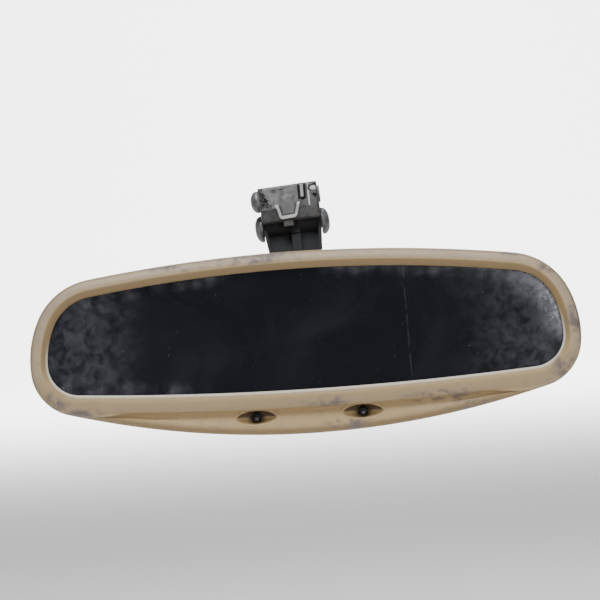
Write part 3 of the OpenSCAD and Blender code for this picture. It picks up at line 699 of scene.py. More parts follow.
class MIRROR_OT_bezel(bpy.types.Operator):
    """Front moulding: its section is carried round from the glass's outline to the case's outline.

    A section is a line of control points (distance from the glass, depth) with its corners cut, so that the
    rim is a soft crown; where the section is wide, a groove and the flatter chin follow. The two lamp recesses
    are then pressed into it.
    """

    bl_idname = "mirror.bezel"
    bl_label = "Bezel with chin"

    def execute(self, context):
        look = context.scene.mirror_case
        fine = np.concatenate([np.linspace(0, 13, 8, endpoint=False), np.linspace(13, 36.4, 96, endpoint=False),
                               np.linspace(36.4, 106, 34, endpoint=False)]) / 106
        way = round_trip(fine, shares(26), shares(18), shares(26), shares(40))
        g, n = GLASS_EDGE.at(way)
        o, out_way = CASE_EDGE.at(way)
        full = np.linalg.norm(o - g, axis=1)
        toward = (o - g) / full[:, None]
        chin = smooth((full - 10.7) / 4.6)
        crown, rise = look.crown, look.crown_rise
        one = np.ones_like(full)
        ring = [(full - 2.6, -2.75), (full - 1.5, -2.0), (full - 0.8, -1.1), (full - 0.45, -0.4),
                (full - 0.25, 0.2),
                (full - 0.12, 0.9), (full - 0.05, 1.6), (full, 2.3), (full, 3.0), (full, 3.6)]
        apron = [(6.6, -2.75), (8.0, -1.8), (8.95, -0.3), (9.2, 1.0), (9.5, 1.35), (10.1, 0.95), (11.4, 0.4),
                 (full - 4.2, -1.0), (full - 1.5, -0.4), (full - 0.1, 2.0)]
        steps = [(0.15, -0.56), (0.2, -1.1), (1.3, -2.1), (crown - 0.8, 0.05 - rise), (crown + 0.6, -rise)]
        steps += [(mix(a, c, chin), mix(b, d, chin)) for (a, b), (c, d) in zip(ring, apron)]
        steps += [(full, 5.0), (full, 7.6), (full - 0.25, SEAM_Y - 0.1), (full - 0.6, SEAM_Y)]
        steps = [(a * one, b * one) for a, b in steps]
        control = np.stack([np.stack(s, -1) for s in steps], 1)
        curve = cut_corners(control, 3)
        step = np.linalg.norm(np.diff(curve, axis=1), axis=2)
        run = np.concatenate([np.zeros((len(curve), 1)), np.cumsum(step, 1)], 1)
        run /= run[:, -1:]
        mark = lambda k: run[:, min(int(k * (curve.shape[1] - 1) / (len(steps) - 1)), curve.shape[1] - 1)]
        marks = np.stack([0 * full, mark(4), mark(8.5), mark(14), 1 + 0 * full], 1)
        front = spaced(curve, marks, (26, 26, 62, 16))
        wall = 2.2
        t = np.linspace(0, 1, 14)[None, :]
        a = mix(full - wall - 0.3, full - 4.6, chin)[:, None]
        inner = np.stack([mix(a, 5.2, t), mix(3.0, 1.4, t) + 0 * a], -1)
        back = np.stack([np.stack([full - wall, y * one], -1) for y in (SEAM_Y, 4.8)], 1)
        corners = (4.4, 4.4), (2.6, 4.4), (2.6, -0.56)
        hook = np.stack([np.stack([s * one, y * one], -1) for s, y in corners], 1)
        section = np.concatenate([front, back, inner, hook], 1)
        s, y = section[..., 0], section[..., 1]
        share = (s / full[:, None])[..., None]
        flat = g[:, None] + s[..., None] * (toward[:, None] + (1 - share) ** 2 * (n - toward)[:, None])
        x, z = flat[..., 0], flat[..., 1]
        face = np.zeros(section.shape[1], bool)
        face[: front.shape[1] - 12] = True
        lining = np.zeros_like(face)
        lining[front.shape[1] + 2 : front.shape[1] + 16] = True
        press = np.where(face, scoop_depth(x, z, look.lamp_recess), 0) + np.where(
            lining, scoop_depth(x, z, look.lamp_recess, 1.3), 0)
        y = np.where(s > 3.4, y + press, y)
        points = in_head(np.stack([x, y, z], -1))
        faces = grid_faces(*points.shape[:2], wrap_rows=True, wrap_columns=True)
        # Greyer faded tone on the outer faces, stronger on upward faces as a painted cool top light.
        outside = smooth((s - crown + 0.5) / 1.2) * (1 - smooth((s - 8.2) / 0.8) * chin[:, None])
        upward = smooth((out_way[:, 1] + 0.75) / 0.9)[:, None]
        fading_and_top_light = outside * mix(0.55, 1.0, upward)
        # Painted shade in the crease under the ring's lower roll, above the chin.
        painted_shade = 1.25 * np.exp(-(((s - 8.9) / np.where(s < 8.9, 1.7, 0.55)) ** 2)) * chin[:, None]
        # Painted shade on the inner slope, strongest at the top where it faces down.
        slope = smooth((s + 0.1) / 0.4) * (1 - smooth((s - 3.0) / 0.9)) * (1 - 0.85 * (1 - upward))
        painted_shade = np.maximum(painted_shade, 1.9 * slope)
        ring_only = 1 - chin[:, None] * smooth((s - 9.0) / 0.5)
        # Painted shade on the down-facing parts of the ring.
        painted_shade = np.maximum(painted_shade, 0.7 * smooth((s - 1.2) / 0.6) * ring_only * (1 - upward))
        # Painted highlight on the up-facing inner lip along the lower part of the ring.
        lip = smooth((1.35 - s) / 0.5) * smooth((-out_way[:, 1] + 0.35) / 0.5)[:, None]
        sunk = press / look.lamp_recess
        # Painted shade on the upper walls of the lamp recesses and round each lamp.
        near = smooth((5.2 - np.hypot(np.abs(x) - LAMP_X, z - LAMP_Z)) / 3.0)
        recess_shade = smooth((sunk - 0.04) / 0.3) * smooth((z - LAMP_Z + 0.3) / 0.9)
        recess_shade = recess_shade + 0.85 * near * smooth((sunk - 0.3) / 0.4)
        # Painted shade along the outer edges and the chin's lower edge, where no light bounces back.
        reach = mix(1.4, 4.6, chin)[:, None]
        low = smooth((s - full[:, None] + reach) / (0.75 * reach)) * face
        painted_shade = np.maximum(painted_shade, mix(1.3, 2.0, chin[:, None]) * low)
        tones = {"fading_and_top_light": fading_and_top_light, "painted_shade": painted_shade, "lip": lip, "recess_shade": np.clip(recess_shade, 0, 1)}
        make_piece("bezel_moulding", points, faces, "head", "case plastic", ["bezel"],
                   {key: tone * face for key, tone in tones.items()})
        return {"FINISHED"}


REAR_WALL, STAY_HOLE = 2.2, 12.0
PLUG_WELL, PLUG_ROOM, WINDOW_WELL, WELL_ROOM = 16, 0.3, 9, 0.25
LIP, LIP_RUN = 0.35, 0.05


class MIRROR_OT_rear_case(bpy.types.Operator):
    """Rear shell: from the seam a quarter of a rounded oval leads in to the stay's hole, outside and inside.

    With share v from 0 to 1 and a = 90 degrees times v, a point lies (1 - cos(a)^0.9) of the way in, and
    sin(a)^0.85 of the way back. The places for the plug and the light window are pressed in.
    """

    bl_idname = "mirror.rear_case"
    bl_label = "Rear case"

    def execute(self, context):
        way = round_trip(shares(60), shares(22), shares(16), shares(22), shares(50))
        o, n = CASE_EDGE.at(way)
        centre = BALL_MM[[0, 2]]
        hole = centre + STAY_HOLE * (o - centre) / np.linalg.norm(o - centre, axis=1)[:, None]
        a = np.linspace(0, np.pi / 2, 96)
        rows = []
        for inset, depth, run in ((0.0, CASE_DEPTH, a), (REAR_WALL, CASE_DEPTH - REAR_WALL, a[::-4])):
            edge = o - n * inset
            inn = (1 - np.cos(run) ** 0.9)[None, :, None]
            back = SEAM_Y + 0.05 + (depth - SEAM_Y) * np.sin(run) ** 0.85
            flat = mix(edge[:, None], hole[:, None], inn)
            if inset == 0:
                flat = flat - n[:, None] * (LIP * smooth(1 - run / LIP_RUN))[None, :, None]
            rows.append(np.concatenate([flat, np.broadcast_to(back, flat.shape[:2])[..., None]], -1))
        p = np.concatenate(rows, 1)
        x, z, y = p[..., 0], p[..., 1], p[..., 2]
        outer = np.arange(p.shape[1]) < len(a)
        for node, round_hole in (("plug_socket", False), ("sky_sensor_window", True)):
            low, high = drawn_box(node)
            mid, half = (low + high)[[0, 2]] / 2, (high - low)[[0, 2]] / 2 + WELL_ROOM
            dx, dz = np.abs(x - mid[0]), np.abs(z - mid[1])
            if round_hole:
                y = np.where(outer & (np.hypot(dx, dz) < half[0]), y - WINDOW_WELL, y)
            else:
                y = np.where(np.maximum(dx - half[0], dz - half[1]) < PLUG_ROOM, y - PLUG_WELL, y)
        points = in_head(np.stack([x, y, z], -1))
        faces = grid_faces(*points.shape[:2], wrap_rows=True, wrap_columns=True)
        make_piece("rear_case_shell", points, faces, "head", "case plastic",
                   ["rear_case"], sharp=40)
        return {"FINISHED"}


GROUND_EDGE, GLASS_OVERLAP, SPINE_END, GLASS_BACK = 0.4, 2.0, 92, 1.98


class MIRROR_OT_glass(bpy.types.Operator):
    """Front glass: rings that shrink from the outline to a line along the middle, with the rim's distance.

    The front edge is ground: its outer part falls back along a quarter circle.
    """

    bl_idname = "mirror.glass"
    bl_label = "Front glass"

    def execute(self, context):
        way = round_trip(shares(90), shares(26), shares(20), shares(26), shares(80))
        g, n = GLASS_EDGE.at(way)
        rim = g + GLASS_OVERLAP * n
        across = np.clip(g[:, 0], -SPINE_END, SPINE_END) * np.clip(np.abs(g[:, 0]) / SPINE_END, 0, 1)
        spine = np.stack([across, 0 * across], -1)
        t = np.linspace(0, 1, 60) ** 1.25 * 0.998
        a = np.linspace(0, np.pi / 2, 5)
        front_flat = mix((rim - n * GROUND_EDGE)[:, None], spine[:, None], t[None, :, None])
        ground = rim[:, None] - n[:, None] * (GROUND_EDGE * (1 - np.cos(a)))[None, :, None]
        flat = np.concatenate([rim[:, None], ground, front_flat[:, 1:]], 1)
        depth = np.concatenate([[GLASS_BACK], GROUND_EDGE - GROUND_EDGE * np.sin(a), 0 * t[1:]])
        columns, rings = flat.shape[:2]
        points = in_head(np.stack([flat[..., 0], np.broadcast_to(depth, flat.shape[:2]), flat[..., 1]], -1))
        gap = np.linalg.norm(flat[:, :, None] - g[None, None, ::6], axis=-1).min(-1)
        edge = np.where(np.arange(rings)[None] < 5, 0, gap)
        faces = [list(f) for f in grid_faces(columns, rings, wrap_rows=True)]
        inner = np.arange(columns) * rings + rings - 1
        half = columns // 2
        for i in range(half):
            j = (columns - i) % columns, (columns - i - 1) % columns
            quad = [inner[i], inner[i + 1], inner[j[1]], inner[j[0]]]
            faces.append([int(q) for q in dict.fromkeys(quad)])
        faces = [f for f in faces if len(f) > 2]
        faces.append([int(c * rings) for c in range(columns)][::-1])
        make_piece("mirror_glass", points, faces, "head", "dimmed glass", ["front_glass"],
                   {"edge": edge}, sharp=30)
        return {"FINISHED"}


# ---- Pieces of the mount ----------------------------------------------------------------------------


def box_distance(x, z, low, high, soft):
    """Signed distance to a rectangle with corners rounded by soft; negative inside."""
    cx, cz = (low[0] + high[0]) / 2, (low[1] + high[1]) / 2
    qx = np.abs(x - cx) - (high[0] - low[0]) / 2 + soft
    qz = np.abs(z - cz) - (high[1] - low[1]) / 2 + soft
    return np.hypot(np.maximum(qx, 0), np.maximum(qz, 0)) + np.minimum(np.maximum(qx, qz), 0) - soft


def relief(name, low, high, step, height, back, body, material, replaces=()):
    """A panel whose front is y = height(x, z) on a square grid and whose back is a flat face at y = back.

    height also gives two tones between 0 and 1: a painted highlight (with some real lighter blotches) and painted
    shade (with real stains and scars).
    """
    nx, nz = int((high[0] - low[0]) / step) + 1, int((high[1] - low[1]) / step) + 1
    x, z = np.meshgrid(np.linspace(low[0], high[0], nx), np.linspace(low[1], high[1], nz), indexing="ij")
    y, highlight_and_blotches, shade_and_stains = height(x, z)
    front = np.stack([x, np.minimum(y, back - 0.02), z], -1).reshape(-1, 3)
    behind = front * [1, 0, 1] + [0, back, 0]
    kept = np.zeros((nx + 1, nz + 1), bool)
    solid = y < back - 0.06
    kept[1:-1, 1:-1] = (solid[:-1, :-1] & solid[1:, :-1]) & (solid[:-1, 1:] & solid[1:, 1:])
    count = nx * nz
    number = np.arange(count).reshape(nx, nz)
    quads = grid_faces(nx, nz)[kept[1:-1, 1:-1].ravel()]
    faces = [quads, quads[:, ::-1] + count]
    for here, there, a, b in (
        (kept[1:-1, 1:-1], kept[:-2, 1:-1], number[:-1, 1:], number[:-1, :-1]),
        (kept[1:-1, 1:-1], kept[2:, 1:-1], number[1:, :-1], number[1:, 1:]),
        (kept[1:-1, 1:-1], kept[1:-1, :-2], number[:-1, :-1], number[1:, :-1]),
        (kept[1:-1, 1:-1], kept[1:-1, 2:], number[1:, 1:], number[:-1, 1:]),
    ):
        edge = here & ~there
        a, b = a[edge], b[edge]
        faces.append(np.stack([a, b, b + count, a + count], 1))
    faces = np.concatenate(faces)
    used, renumbered = np.unique(faces, return_inverse=True)
    faces = renumbered.reshape(-1, 4)
    placed = in_mount(np.concatenate([front, behind])[used])
    tones = {key: np.concatenate([np.clip(t + 0 * x, 0, 1).ravel(), np.zeros(count)])[used]
             for key, t in (("highlight_and_blotches", highlight_and_blotches), ("shade_and_stains", shade_and_stains))}
    return make_piece(name, placed, faces, body, material, replaces, tones)


def waves(x, z, step, seed):
    """Uneven dents: three products of sines at unlike angles, from -1 to 1."""
    k = 2 * math.pi / step
    a = np.sin(k * (0.9 * x + 0.4 * z) + seed + 1.4 * np.sin(k * (0.3 * z - 0.5 * x)))
    b = np.sin(k * (0.8 * z - 0.5 * x) * 1.31 + 2 * seed + 1.1 * np.sin(k * (0.6 * x + 0.2 * z)))
    return a * b * (0.7 + 0.3 * np.sin(k * (x + z) * 0.37 + seed))


class MIRROR_OT_shoe_face(bpy.types.Operator):
    """Cast face of the shoe: a field of raised pads and sunk places, each faded over its rounded edge."""

    bl_idname = "mirror.shoe_face"
    bl_label = "Shoe face"

    def execute(self, context):
        def height(x, z):
            edge = box_distance(x, z, (-13.9, 49.75), (13.9, 66.7), np.where(z < 58, 2.3, 1.5))
            edge = np.maximum(edge, (x + z - 78.3) / 1.414)
            edge = np.maximum(edge, (-x + z - 79.2) / 1.414)
            y = 51.55 + 1.7 * smooth((edge + 1.3) / 1.5) ** 2
            lower = smooth((56.4 - z) / 1.4)
            y = y + 0.35 * lower - 0.35 * smooth((x - 6) / 3) * lower
            shoulder = smooth((x - 8.7) / 0.7)
            y = y - 0.55 * shoulder * smooth((z - 52) / 3)
            ridge = np.exp(-(((x - 9.45 - 0.03 * (z - 56)) / 0.46) ** 4)) * smooth((z - 55.6) / 0.8)
            y = y - 0.28 * ridge
            groove = box_distance(x - 0.06 * (z - 63), z, (4.95, 59.0), (8.55, 70.0), 0.6)
            y = y + 1.0 * smooth(-groove / 0.4)
            boss = np.hypot((x - 12.3) / 1.75, (z - 63.7) / 1.15)
            y = y - 0.55 * smooth(1.25 - boss) + 0.25 * np.exp(-(((boss - 1.35) / 0.16) ** 2))
            knob = np.hypot((x - 12.9) / 1.2, (z - 65.8) / 0.8)
            y = y - 0.5 * smooth(1.2 - knob)
            across, down = (x - 12.7) * 0.9 + (60.4 - z) * 0.45, (z - 60.4) * 0.9 + (x - 12.7) * 0.45
            hole = np.hypot(across / 1.15, down / 0.7)
            y = y + 1.3 * smooth((1.15 - hole) / 0.35)
            torn = smooth((-9.3 - x - 0.8 * waves(x, z, 4.1, 0.6)) / 1.0) * smooth((z - 56.4) / 1.5)
            pits = smooth((waves(x, z, 2.6, 1.9) - 0.12) / 0.3)
            y = y + torn * (0.35 + 0.5 * pits)
            y = y + 0.05 * waves(x, z, 3.2, 0.3) + 0.03 * waves(x, z, 1.3, 2.0)
            # Painted highlight on the edge ridge, the boss and the right shoulder.
            bright = ridge * mix(0.5, 1.0, smooth((64.5 - z) / 2)) + smooth((1.05 - boss) / 0.4)
            bright = bright + 0.04 * smooth((x - 6) / 4) * (1 - smooth((x - 13.2) / 0.6))
            # Real scars and pits on the torn left part; painted shade in the hole, round the top of the boss and in
            # the groove; a darker knob, right edge and lower band, and a small overall darkening.
            shade_and_marks = 0.85 * torn * (0.45 + 0.55 * pits) + 0.95 * smooth((1.3 - hole) / 0.4)
            shade_and_marks = shade_and_marks + 0.8 * np.exp(-(((boss - 1.4) / 0.2) ** 2)) * (z > 63.0) + 0.7 * smooth(1.2 - knob)
            shade_and_marks = shade_and_marks + 0.5 * smooth((x - 13.1) / 0.7) + 0.22 + 0.2 * lower
            shade_and_marks = shade_and_marks + 0.15 * smooth((-2 - x) / 6) * lower
            shade_and_marks = shade_and_marks + 0.85 * smooth(-groove / 0.3)
            return y, bright, shade_and_marks

        relief("shoe_face", (-13.85, 49.8), (13.85, 66.65), 0.12, height, 55.0, "shoe",
               "cast metal")
        return {"FINISHED"}


CLIP_BACK = 52.3


class MIRROR_OT_clip(bpy.types.Operator):
    """Spring clip: a scarred plate, a tongue with a raised rim along a U, a key and a rib.

    Each part is the fade of its signed distance; the plate's left edge is ragged by a sum of sines.
    """

    bl_idname = "mirror.clip"
    bl_label = "Retaining clip"

    def execute(self, context):
        def height(x, z):
            ragged = 0.45 * np.sin(z * 2.3) + 0.3 * np.sin(z * 5.3 + 1) + 0.15 * np.sin(z * 10.7)
            slope = np.maximum(-12.1 - x + ragged, (-8.9 - x + ragged) * 0.9 - 0.42 * (z - 57.9))
            plate = np.maximum(box_distance(x, z, (-14.0, 56.3), (4.9, 66.35), 0.5), slope)
            sides = -6.6 - x + 0.21 * (57.5 - z), x - 5.2 + 0.34 * (57.5 - z)
            walls = np.stack([*sides, 50.95 + 0.03 * (x + 1) - z])
            q = walls + 1.5
            cup = np.sqrt((np.maximum(q, 0) ** 2).sum(0)) + np.minimum(q.max(0), 0) - 1.5
            tongue = np.maximum(cup, z - 58.5)
            solid = np.minimum(plate, tongue)
            y = CLIP_BACK - 1.25 * smooth(-solid / 0.3)
            within = -cup
            rim = smooth((1.75 - within) / 0.35) * smooth((58.6 - z) / 1.6) * (tongue < 0.1)
            y = y - 0.55 * rim * smooth(-solid / 0.3)
            inside = smooth((within - 1.55) / 0.3) * smooth((2.9 - within) / 0.9) * smooth((57.8 - z) / 1.0)
            y = y + 0.2 * inside
            key = box_distance(x, z, (-3.95, 47.35), (1.0, 50.35), 0.35)
            y = np.minimum(y, CLIP_BACK - 0.75 * smooth(-key / 0.25))
            rib = box_distance(x - 0.06 * (z - 63), z, (5.75, 60.0), (7.75, 66.4), 0.5)
            y = np.minimum(y, CLIP_BACK - 2.0 * smooth(-rib / 0.4))
            y = y + (0.05 * waves(x, z, 4.7, 2.2) + 0.012 * waves(x, z, 1.7, 0.4)) * smooth(-solid / 0.6)
            # Painted highlight on the U rim and along the rib's edges; a few real lighter blotches on the plate.
            bright = 0.6 * rim * smooth(-solid / 0.2) * mix(0.75, 1.0, smooth((53.5 - z) / 1.5))
            bright = bright + 0.1 * smooth(waves(x, z, 6.3, 3.1) * 1.4) * smooth(-plate / 0.8)
            bright = bright + 0.45 * smooth((0.55 - np.abs(rib + 0.7)) / 0.4) * (rib < 0)
            stain = np.hypot((x + 6.3) / 1.6, (z - 64.6) / 1.1), np.hypot((x + 3.0) / 1.8, (z - 65.2) / 0.7)
            # Real stains on the plate; painted shade inside the U and round the key.
            shade_and_marks = 0.6 * smooth(1.3 - stain[0]) + 0.5 * smooth(1.3 - stain[1]) + 0.65 * inside
            stained = smooth(-waves(x, z, 5.4, 0.9) * 1.3) * smooth(-plate / 0.5)
            shade_and_marks = shade_and_marks + 0.5 * smooth((key < 0.3) * 1.0) + 0.22 * stained
            return y, bright, shade_and_marks * smooth(-np.minimum(np.minimum(solid, key), rib) / 0.1)

        relief("clip_plate", (-13.2, 47.1), (8.2, 66.5), 0.1, height, 52.35, "shoe",
               "worn plate", ["retaining_clip"])
        return {"FINISHED"}


CAP_FOOT, SCREW_END = 0.9, -28.5


class MIRROR_OT_caps(bpy.types.Operator):
    """Domed heads of the pivot pin and the clamp screw: a straight foot, then a quarter of a rounded oval."""

    bl_idname = "mirror.caps"
    bl_label = "Domed caps"

    def execute(self, context):
        a = np.linspace(0, np.pi / 2, 20)
        for name, at, side, radius, rise, nodes in (
            ("pivot_cap_left_dome", (62, 47.6), -1, 6.25, 4.0, ["pivot_cap_left"]),
            ("pivot_cap_right_dome", (62, 47.6), 1, 6.25, 4.0, ["pivot_cap_right"]),
            ("clamp_screw_dome", (57, 60.6), -1, 5.15, 4.0, ["clamp_screw"]),
        ):
            profile = [(0.01, 0), (radius - 0.25, 0), (radius, 0.25), (radius, CAP_FOOT)]
            profile += [(max(radius * math.cos(t) ** 0.9, 0.01), CAP_FOOT + (rise - CAP_FOOT) * math.sin(t))
                        for t in a[1:]]
            foot_x = 13.7
            if name == "clamp_screw_dome":
                shank = [(0.01, SCREW_END), (1.8, SCREW_END), (1.95, SCREW_END + 0.2), (1.95, 0)]
                profile, foot_x = shank + profile[1:], 13.9
            points = in_mount(turned_solid(profile, (side * foot_x, *at), (side, 0, 0), 72))
            make_piece(name, points, closed_rings(points), "shoe", "dark steel", nodes, sharp=50)
        return {"FINISHED"}


LAMP_TILT, LAMP_RADIUS, LAMP_RISE = math.radians(20), 1.5, 2.2


class MIRROR_OT_lamps(bpy.types.Operator):
    """Lamps: a clear dome of a half circle on a straight body, in a black sleeve with a rolled rim."""

    bl_idname = "mirror.lamps"
    bl_label = "Console lamps"

    def execute(self, context):
        a = np.linspace(0, np.pi / 2, 14)
        for side, word in ((-1, "left"), (1, "right")):
            low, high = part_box("lamp_" + word)
            x = ((low.x + high.x) / 2 - GLASS_HOME[0]) * 1000
            axis = np.array([0, -math.cos(LAMP_TILT), -math.sin(LAMP_TILT)])
            seat = np.array([x, 6.0, LAMP_Z])
            dome = [(0.01, -6.8), (1.35, -6.8), (LAMP_RADIUS, -6.6), (LAMP_RADIUS, LAMP_RISE)]
            dome += [(max(LAMP_RADIUS * math.cos(t), 0.01), LAMP_RISE + LAMP_RADIUS * math.sin(t))
                     for t in a[1:]]
            points = in_head(turned_solid(dome, seat, axis, 48))
            make_piece("lamp_" + word + "_dome", points, closed_rings(points), "head", "lamp lens",
                       ["lamp_" + word], sharp=50)
            roll = [(1.55, -3.9), (2.3, -3.9), (2.3, 2.0)]
            roll += [(1.92 + 0.38 * math.cos(t), 2.1 + 0.5 * math.sin(t))
                     for t in np.linspace(0.2, math.pi - 0.2, 9)]
            roll += [(1.55, 2.0)]
            points = in_head(turned_solid(roll, seat, axis, 48))
            faces = grid_faces(*points.shape[:2], wrap_rows=True, wrap_columns=True)
            make_piece("lamp_" + word + "_ring", points, faces, "head", "black rubber",
                       ["lamp_sleeve_" + word], sharp=50)
        return {"FINISHED"}


TRIM_RADIUS = 0.75


class MIRROR_OT_trims(bpy.types.Operator):
    """Trim rings round the plug and the light window: an oval section carried round each opening."""

    bl_idname = "mirror.trims"
    bl_label = "Rear trims"

    def execute(self, context):
        turn = np.linspace(0, 2 * np.pi, 14, endpoint=False)
        for name, node in (("plug_trim", "plug_socket"), ("eye_trim", "sky_sensor_window")):
            low, high = drawn_box(node)
            mid, half = (low + high) / 2, (high - low) / 2
            if node == "plug_socket":
                w, h = half[0] + 0.45, half[2] + 0.45
                path = rounded_corners([(-w, -h), (w, -h), (w, h), (-w, h)], 1.2, 7)
            else:
                b = np.linspace(0, 2 * np.pi, 64, endpoint=False)
                path = (half[0] + 0.3) * np.stack([np.cos(b), np.sin(b)], 1)
            rows = []
            for t in turn:
                ring = inset_outline(path, -TRIM_RADIUS * math.cos(t))
                x, z = ring[:, 0] + mid[0], ring[:, 1] + mid[2]
                y = high[1] - 0.2 + TRIM_RADIUS * math.sin(t)
                rows.append(np.stack([x, np.broadcast_to(y, x.shape), z], -1))
            points = in_head(np.stack(rows))
            faces = grid_faces(*points.shape[:2], wrap_rows=True, wrap_columns=True)
            make_piece(name, points, faces, "head", "black plastic")
        return {"FINISHED"}


# ---- The CAD nodes that stay ------------------------------------------------------------------------

NODE_FINISH = {
    "shoe_body": "cast metal", "pivot_pin": "bright steel", "friction_washers": "seat plastic",
    "stay_arm": "stay coating", "ball_stud": "bright steel", "stud_washer": "bright steel",
    "stud_nut": "bright steel", "ball_seat_ring": "seat plastic", "pressure_cup": "seat plastic",
    "glazing_seal": "black rubber", "dimming_gel": "gel", "cell_edge_seal": "black rubber",
    "mirror_plate": "silvered glass", "bus_clip_top": "copper", "bus_clip_bottom": "copper",
    "foam_pad": "foam", "carrier_plate": "black plastic", "carrier_screws": "bright steel", "socket_housing": "cast metal",
    "socket_spring": "bright steel", "socket_screws": "bright steel", "circuit_board": "solder mask",
    "control_chip": "chip epoxy", "board_capacitors": "chip epoxy", "board_screws": "bright steel",
    "glare_sensor": "sensor lens", "sky_sensor": "sensor lens", "sky_sensor_window": "sensor lens",
    "plug_socket": "black plastic", "plug_pins": "contact gold", "lamp_board": "solder mask",
    "neck_grommet": "black rubber",
}
PLAIN_FINISHES = {
    "seat plastic": ((0.72, 0.69, 0.6), 0.4, 0.0, {}),
    "black rubber": ((0.012, 0.012, 0.013), 0.6, 0.0, {}),
    "black plastic": ((0.02, 0.02, 0.022), 0.42, 0.0, {}),
    "gel": ((0.02, 0.035, 0.09), 0.1, 0.0, {}),
    "silvered glass": ((0.75, 0.78, 0.8), 0.03, 1.0, {"change": 0.02}),
    "copper": ((0.7, 0.36, 0.2), 0.25, 1.0, {}),
    "foam": ((0.04, 0.04, 0.045), 0.9, 0.0, {"per_metre": 1500.0, "grain": 0.0002}),
    "chip epoxy": ((0.03, 0.03, 0.035), 0.5, 0.0, {}),
    "sensor lens": ((0.012, 0.012, 0.02), 0.08, 0.0, {}),
    "contact gold": ((0.8, 0.6, 0.25), 0.25, 1.0, {}),
    "lamp lens": ((0.05, 0.05, 0.055), 0.06, 0.0, {"change": 0.3, "Coat_Weight": 1.0}),
}
SOFTENED = {"shoe_body": 0.45, "stay_arm": 0.45, "stud_nut": 0.25, "stud_washer": 0.15, "plug_socket": 0.2,
            "neck_grommet": 0.3, "circuit_board": 0.15, "control_chip": 0.2, "board_capacitors": 0.4}


class MIRROR_OT_finishes(bpy.types.Operator):
    """Makes every finish and gives each CAD node that stays its own."""

    bl_idname = "mirror.finishes"
    bl_label = "Finishes"

    def execute(self, context):
        look = context.scene.mirror_mount
        metal, plate, coat = np.array(look.metal), np.array(look.plate), np.array(look.stay)
        case_finish(context)
        glass_finish(context)
        metal_finish("cast metal", metal * 0.75, metal * 1.3, 0.45, 0.15, pits=0.35, scratch=0.2)
        metal_finish("worn plate", plate * 0.72, plate * 1.2, 0.4, 0.2, pits=0.2, scratch=0.2,
                     per_metre=130.0)
        metal_finish("dark steel", metal * 0.9, metal * 1.4, 0.3, 0.35, scratch=0.15)
        metal_finish("stay coating", coat * 0.8, coat * 1.25, 0.55, 0.0, scratch=0.15,
                     Specular_IOR_Level=0.3)
        metal_finish("bright steel", (0.42, 0.42, 0.44), (0.55, 0.55, 0.57), 0.25, 1.0)
        for name, (base, rough, metallic, more) in PLAIN_FINISHES.items():
            plain_finish(name, base, rough, metallic, **more)
        board_finish()
        for name, finish in NODE_FINISH.items():
            piece = frame["nodes"][name]
            piece.data.materials.clear()
            piece.data.materials.append(bpy.data.materials[finish])
            if name in SOFTENED:
                weld = piece.modifiers.new("Weld", "WELD")
                weld.merge_threshold = 1e-6
                bevel = piece.modifiers.new("Soft edges", "BEVEL")
                bevel.width = SOFTENED[name] / 1000
                bevel.segments = 3
                bevel.limit_method = "ANGLE"
                bevel.angle_limit = math.radians(32)
        return {"FINISHED"}


# ---- Stage ------------------------------------------------------------------------------------------


FLOOR_DROP, BEND, BEND_FROM, BACKDROP_TOP, FLOOR_HALF = 0.11, 0.6, 4.2, 3.2, 4
LIGHTS = {  # place from the glass, side and power
    "key": ((-0.16, -0.6, 1.25), 0.5, 18.0), "fill": ((0.7, -1.3, 0.25), 1.0, 6.0),
    "top": ((0.1, 0.35, 1.2), 0.8, 7.0), "backdrop": ((0.0, 3.5, 1.5), 1.2, 165.0),
}


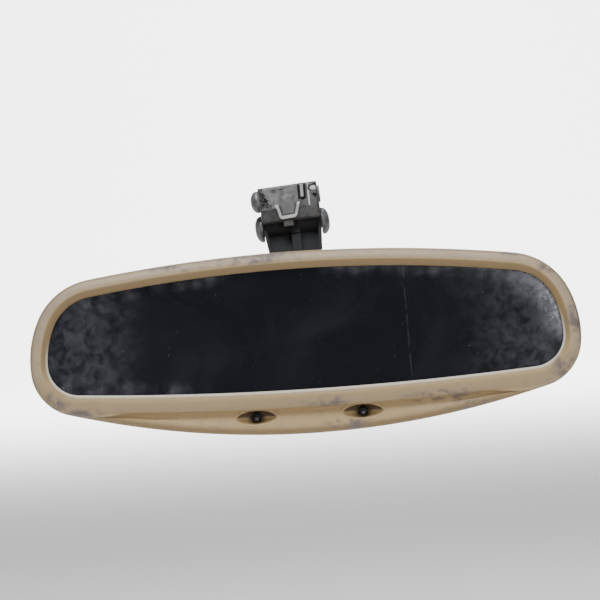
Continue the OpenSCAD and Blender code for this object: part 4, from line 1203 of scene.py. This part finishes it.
class MIRROR_OT_stage(bpy.types.Operator):
    """Floor that bends up into a backdrop, soft lights and the camera.

    The floor's section is level, then a quarter circle, then upright.
    """

    bl_idname = "mirror.stage"
    bl_label = "Stage"

    def execute(self, context):
        look = context.scene.mirror_studio
        floor_z = CAD_BOX[0][2] - FLOOR_DROP
        a = np.linspace(0, np.pi / 2, 24)
        run = np.concatenate([[-FLOOR_HALF], BEND_FROM + BEND * np.sin(a), [BEND_FROM + BEND]])
        rise = np.concatenate([[0.0], BEND * (1 - np.cos(a)), [BACKDROP_TOP]]) + floor_z
        x = np.linspace(-FLOOR_HALF, FLOOR_HALF, 7)
        points = np.stack(np.broadcast_arrays(x[:, None], run, rise), -1)
        mesh = bpy.data.meshes.new("studio_floor")
        faces = grid_faces(*points.shape[:2], flip=True)
        mesh.from_pydata(points.reshape(-1, 3).tolist(), [], faces.tolist())
        mesh.shade_smooth()
        floor = bpy.data.objects.new("studio_floor", mesh)
        context.scene.collection.objects.link(floor)
        made, tree, shader, place = new_finish("studio paper", Roughness=0.9)
        slow = patches(tree, place, 1.5, 0.2, 0.8)
        base = np.array(look.floor)
        tree.links.new(blend(tree, slow, tuple(base * 0.985), tuple(base)), shader.inputs["Base Color"])
        mesh.materials.append(made)
        world = bpy.data.worlds.new("studio")
        context.scene.world = world
        world.use_nodes = True
        sky = world.node_tree.nodes["Background"].inputs
        sky["Color"].default_value = (0.93, 0.96, 1.0, 1)
        sky["Strength"].default_value = 0.16
        middle = Vector(in_head((0, 10, 0)))
        for name, (place, size, power) in LIGHTS.items():
            light = bpy.data.lights.new(name, "AREA")
            light.shape, light.size, light.energy = "SQUARE", size, power
            lamp = bpy.data.objects.new(name, light)
            lamp.location = middle + Vector(place)
            aim = Vector((0, 4.6, -0.15)) + middle if name == "backdrop" else middle
            lamp.rotation_euler = (aim - lamp.location).to_track_quat("-Z", "Y").to_euler()
            context.scene.collection.objects.link(lamp)
        eye = bpy.data.cameras.new("camera")
        eye.lens, eye.sensor_width = 400.0, 36.0
        distance = look.view_width * eye.lens / eye.sensor_width
        camera = bpy.data.objects.new("camera", eye)
        side, rise = look.side, look.rise
        back = Vector((math.sin(side) * math.cos(rise), -math.cos(side) * math.cos(rise), math.sin(rise)))
        right = Vector((0, 0, 1)).cross(back).normalized()
        up = back.cross(right)
        c, s = math.cos(look.roll), math.sin(look.roll)
        turned = Matrix((right * c - up * s, right * s + up * c, back)).transposed().to_4x4()
        aimed_at = Vector(in_head((-1.05, 0, 13.3)))
        camera.matrix_world = Matrix.Translation(aimed_at + back * distance) @ turned
        context.scene.collection.objects.link(camera)
        context.scene.camera = camera
        return {"FINISHED"}


# ---- Panel and registration -------------------------------------------------------------------------

STEPS = (MIRROR_OT_finishes, MIRROR_OT_bezel, MIRROR_OT_rear_case, MIRROR_OT_glass, MIRROR_OT_shoe_face,
         MIRROR_OT_clip, MIRROR_OT_caps, MIRROR_OT_lamps, MIRROR_OT_trims, MIRROR_OT_stage)
SETTINGS = {"mirror_case": MIRROR_PG_case, "mirror_glass": MIRROR_PG_glass, "mirror_mount": MIRROR_PG_mount,
            "mirror_studio": MIRROR_PG_studio}


class MIRROR_PT_sidebar(bpy.types.Panel):
    """Lists the sizes and colours, and the operators in the order in which they run."""

    bl_idname = "MIRROR_PT_sidebar"
    bl_label = "Rearview mirror"
    bl_space_type = "VIEW_3D"
    bl_region_type = "UI"
    bl_category = "Rear mirror"

    def draw(self, context):
        for name, group in SETTINGS.items():
            box = self.layout.box()
            for key in group.__annotations__:
                box.prop(getattr(context.scene, name), key)
        for step in STEPS:
            self.layout.operator(step.bl_idname)


def register():
    for made in (*SETTINGS.values(), *STEPS, MIRROR_PT_sidebar):
        bpy.utils.register_class(made)
    for name, group in SETTINGS.items():
        setattr(bpy.types.Scene, name, bpy.props.PointerProperty(type=group))


def unregister():
    for name in SETTINGS:
        delattr(bpy.types.Scene, name)
    for made in reversed((*SETTINGS.values(), *STEPS, MIRROR_PT_sidebar)):
        bpy.utils.unregister_class(made)


def main():
    register()
    for step in STEPS:
        area, name = step.bl_idname.split(".")
        getattr(getattr(bpy.ops, area), name)()


if __name__ == "__main__":
    main()
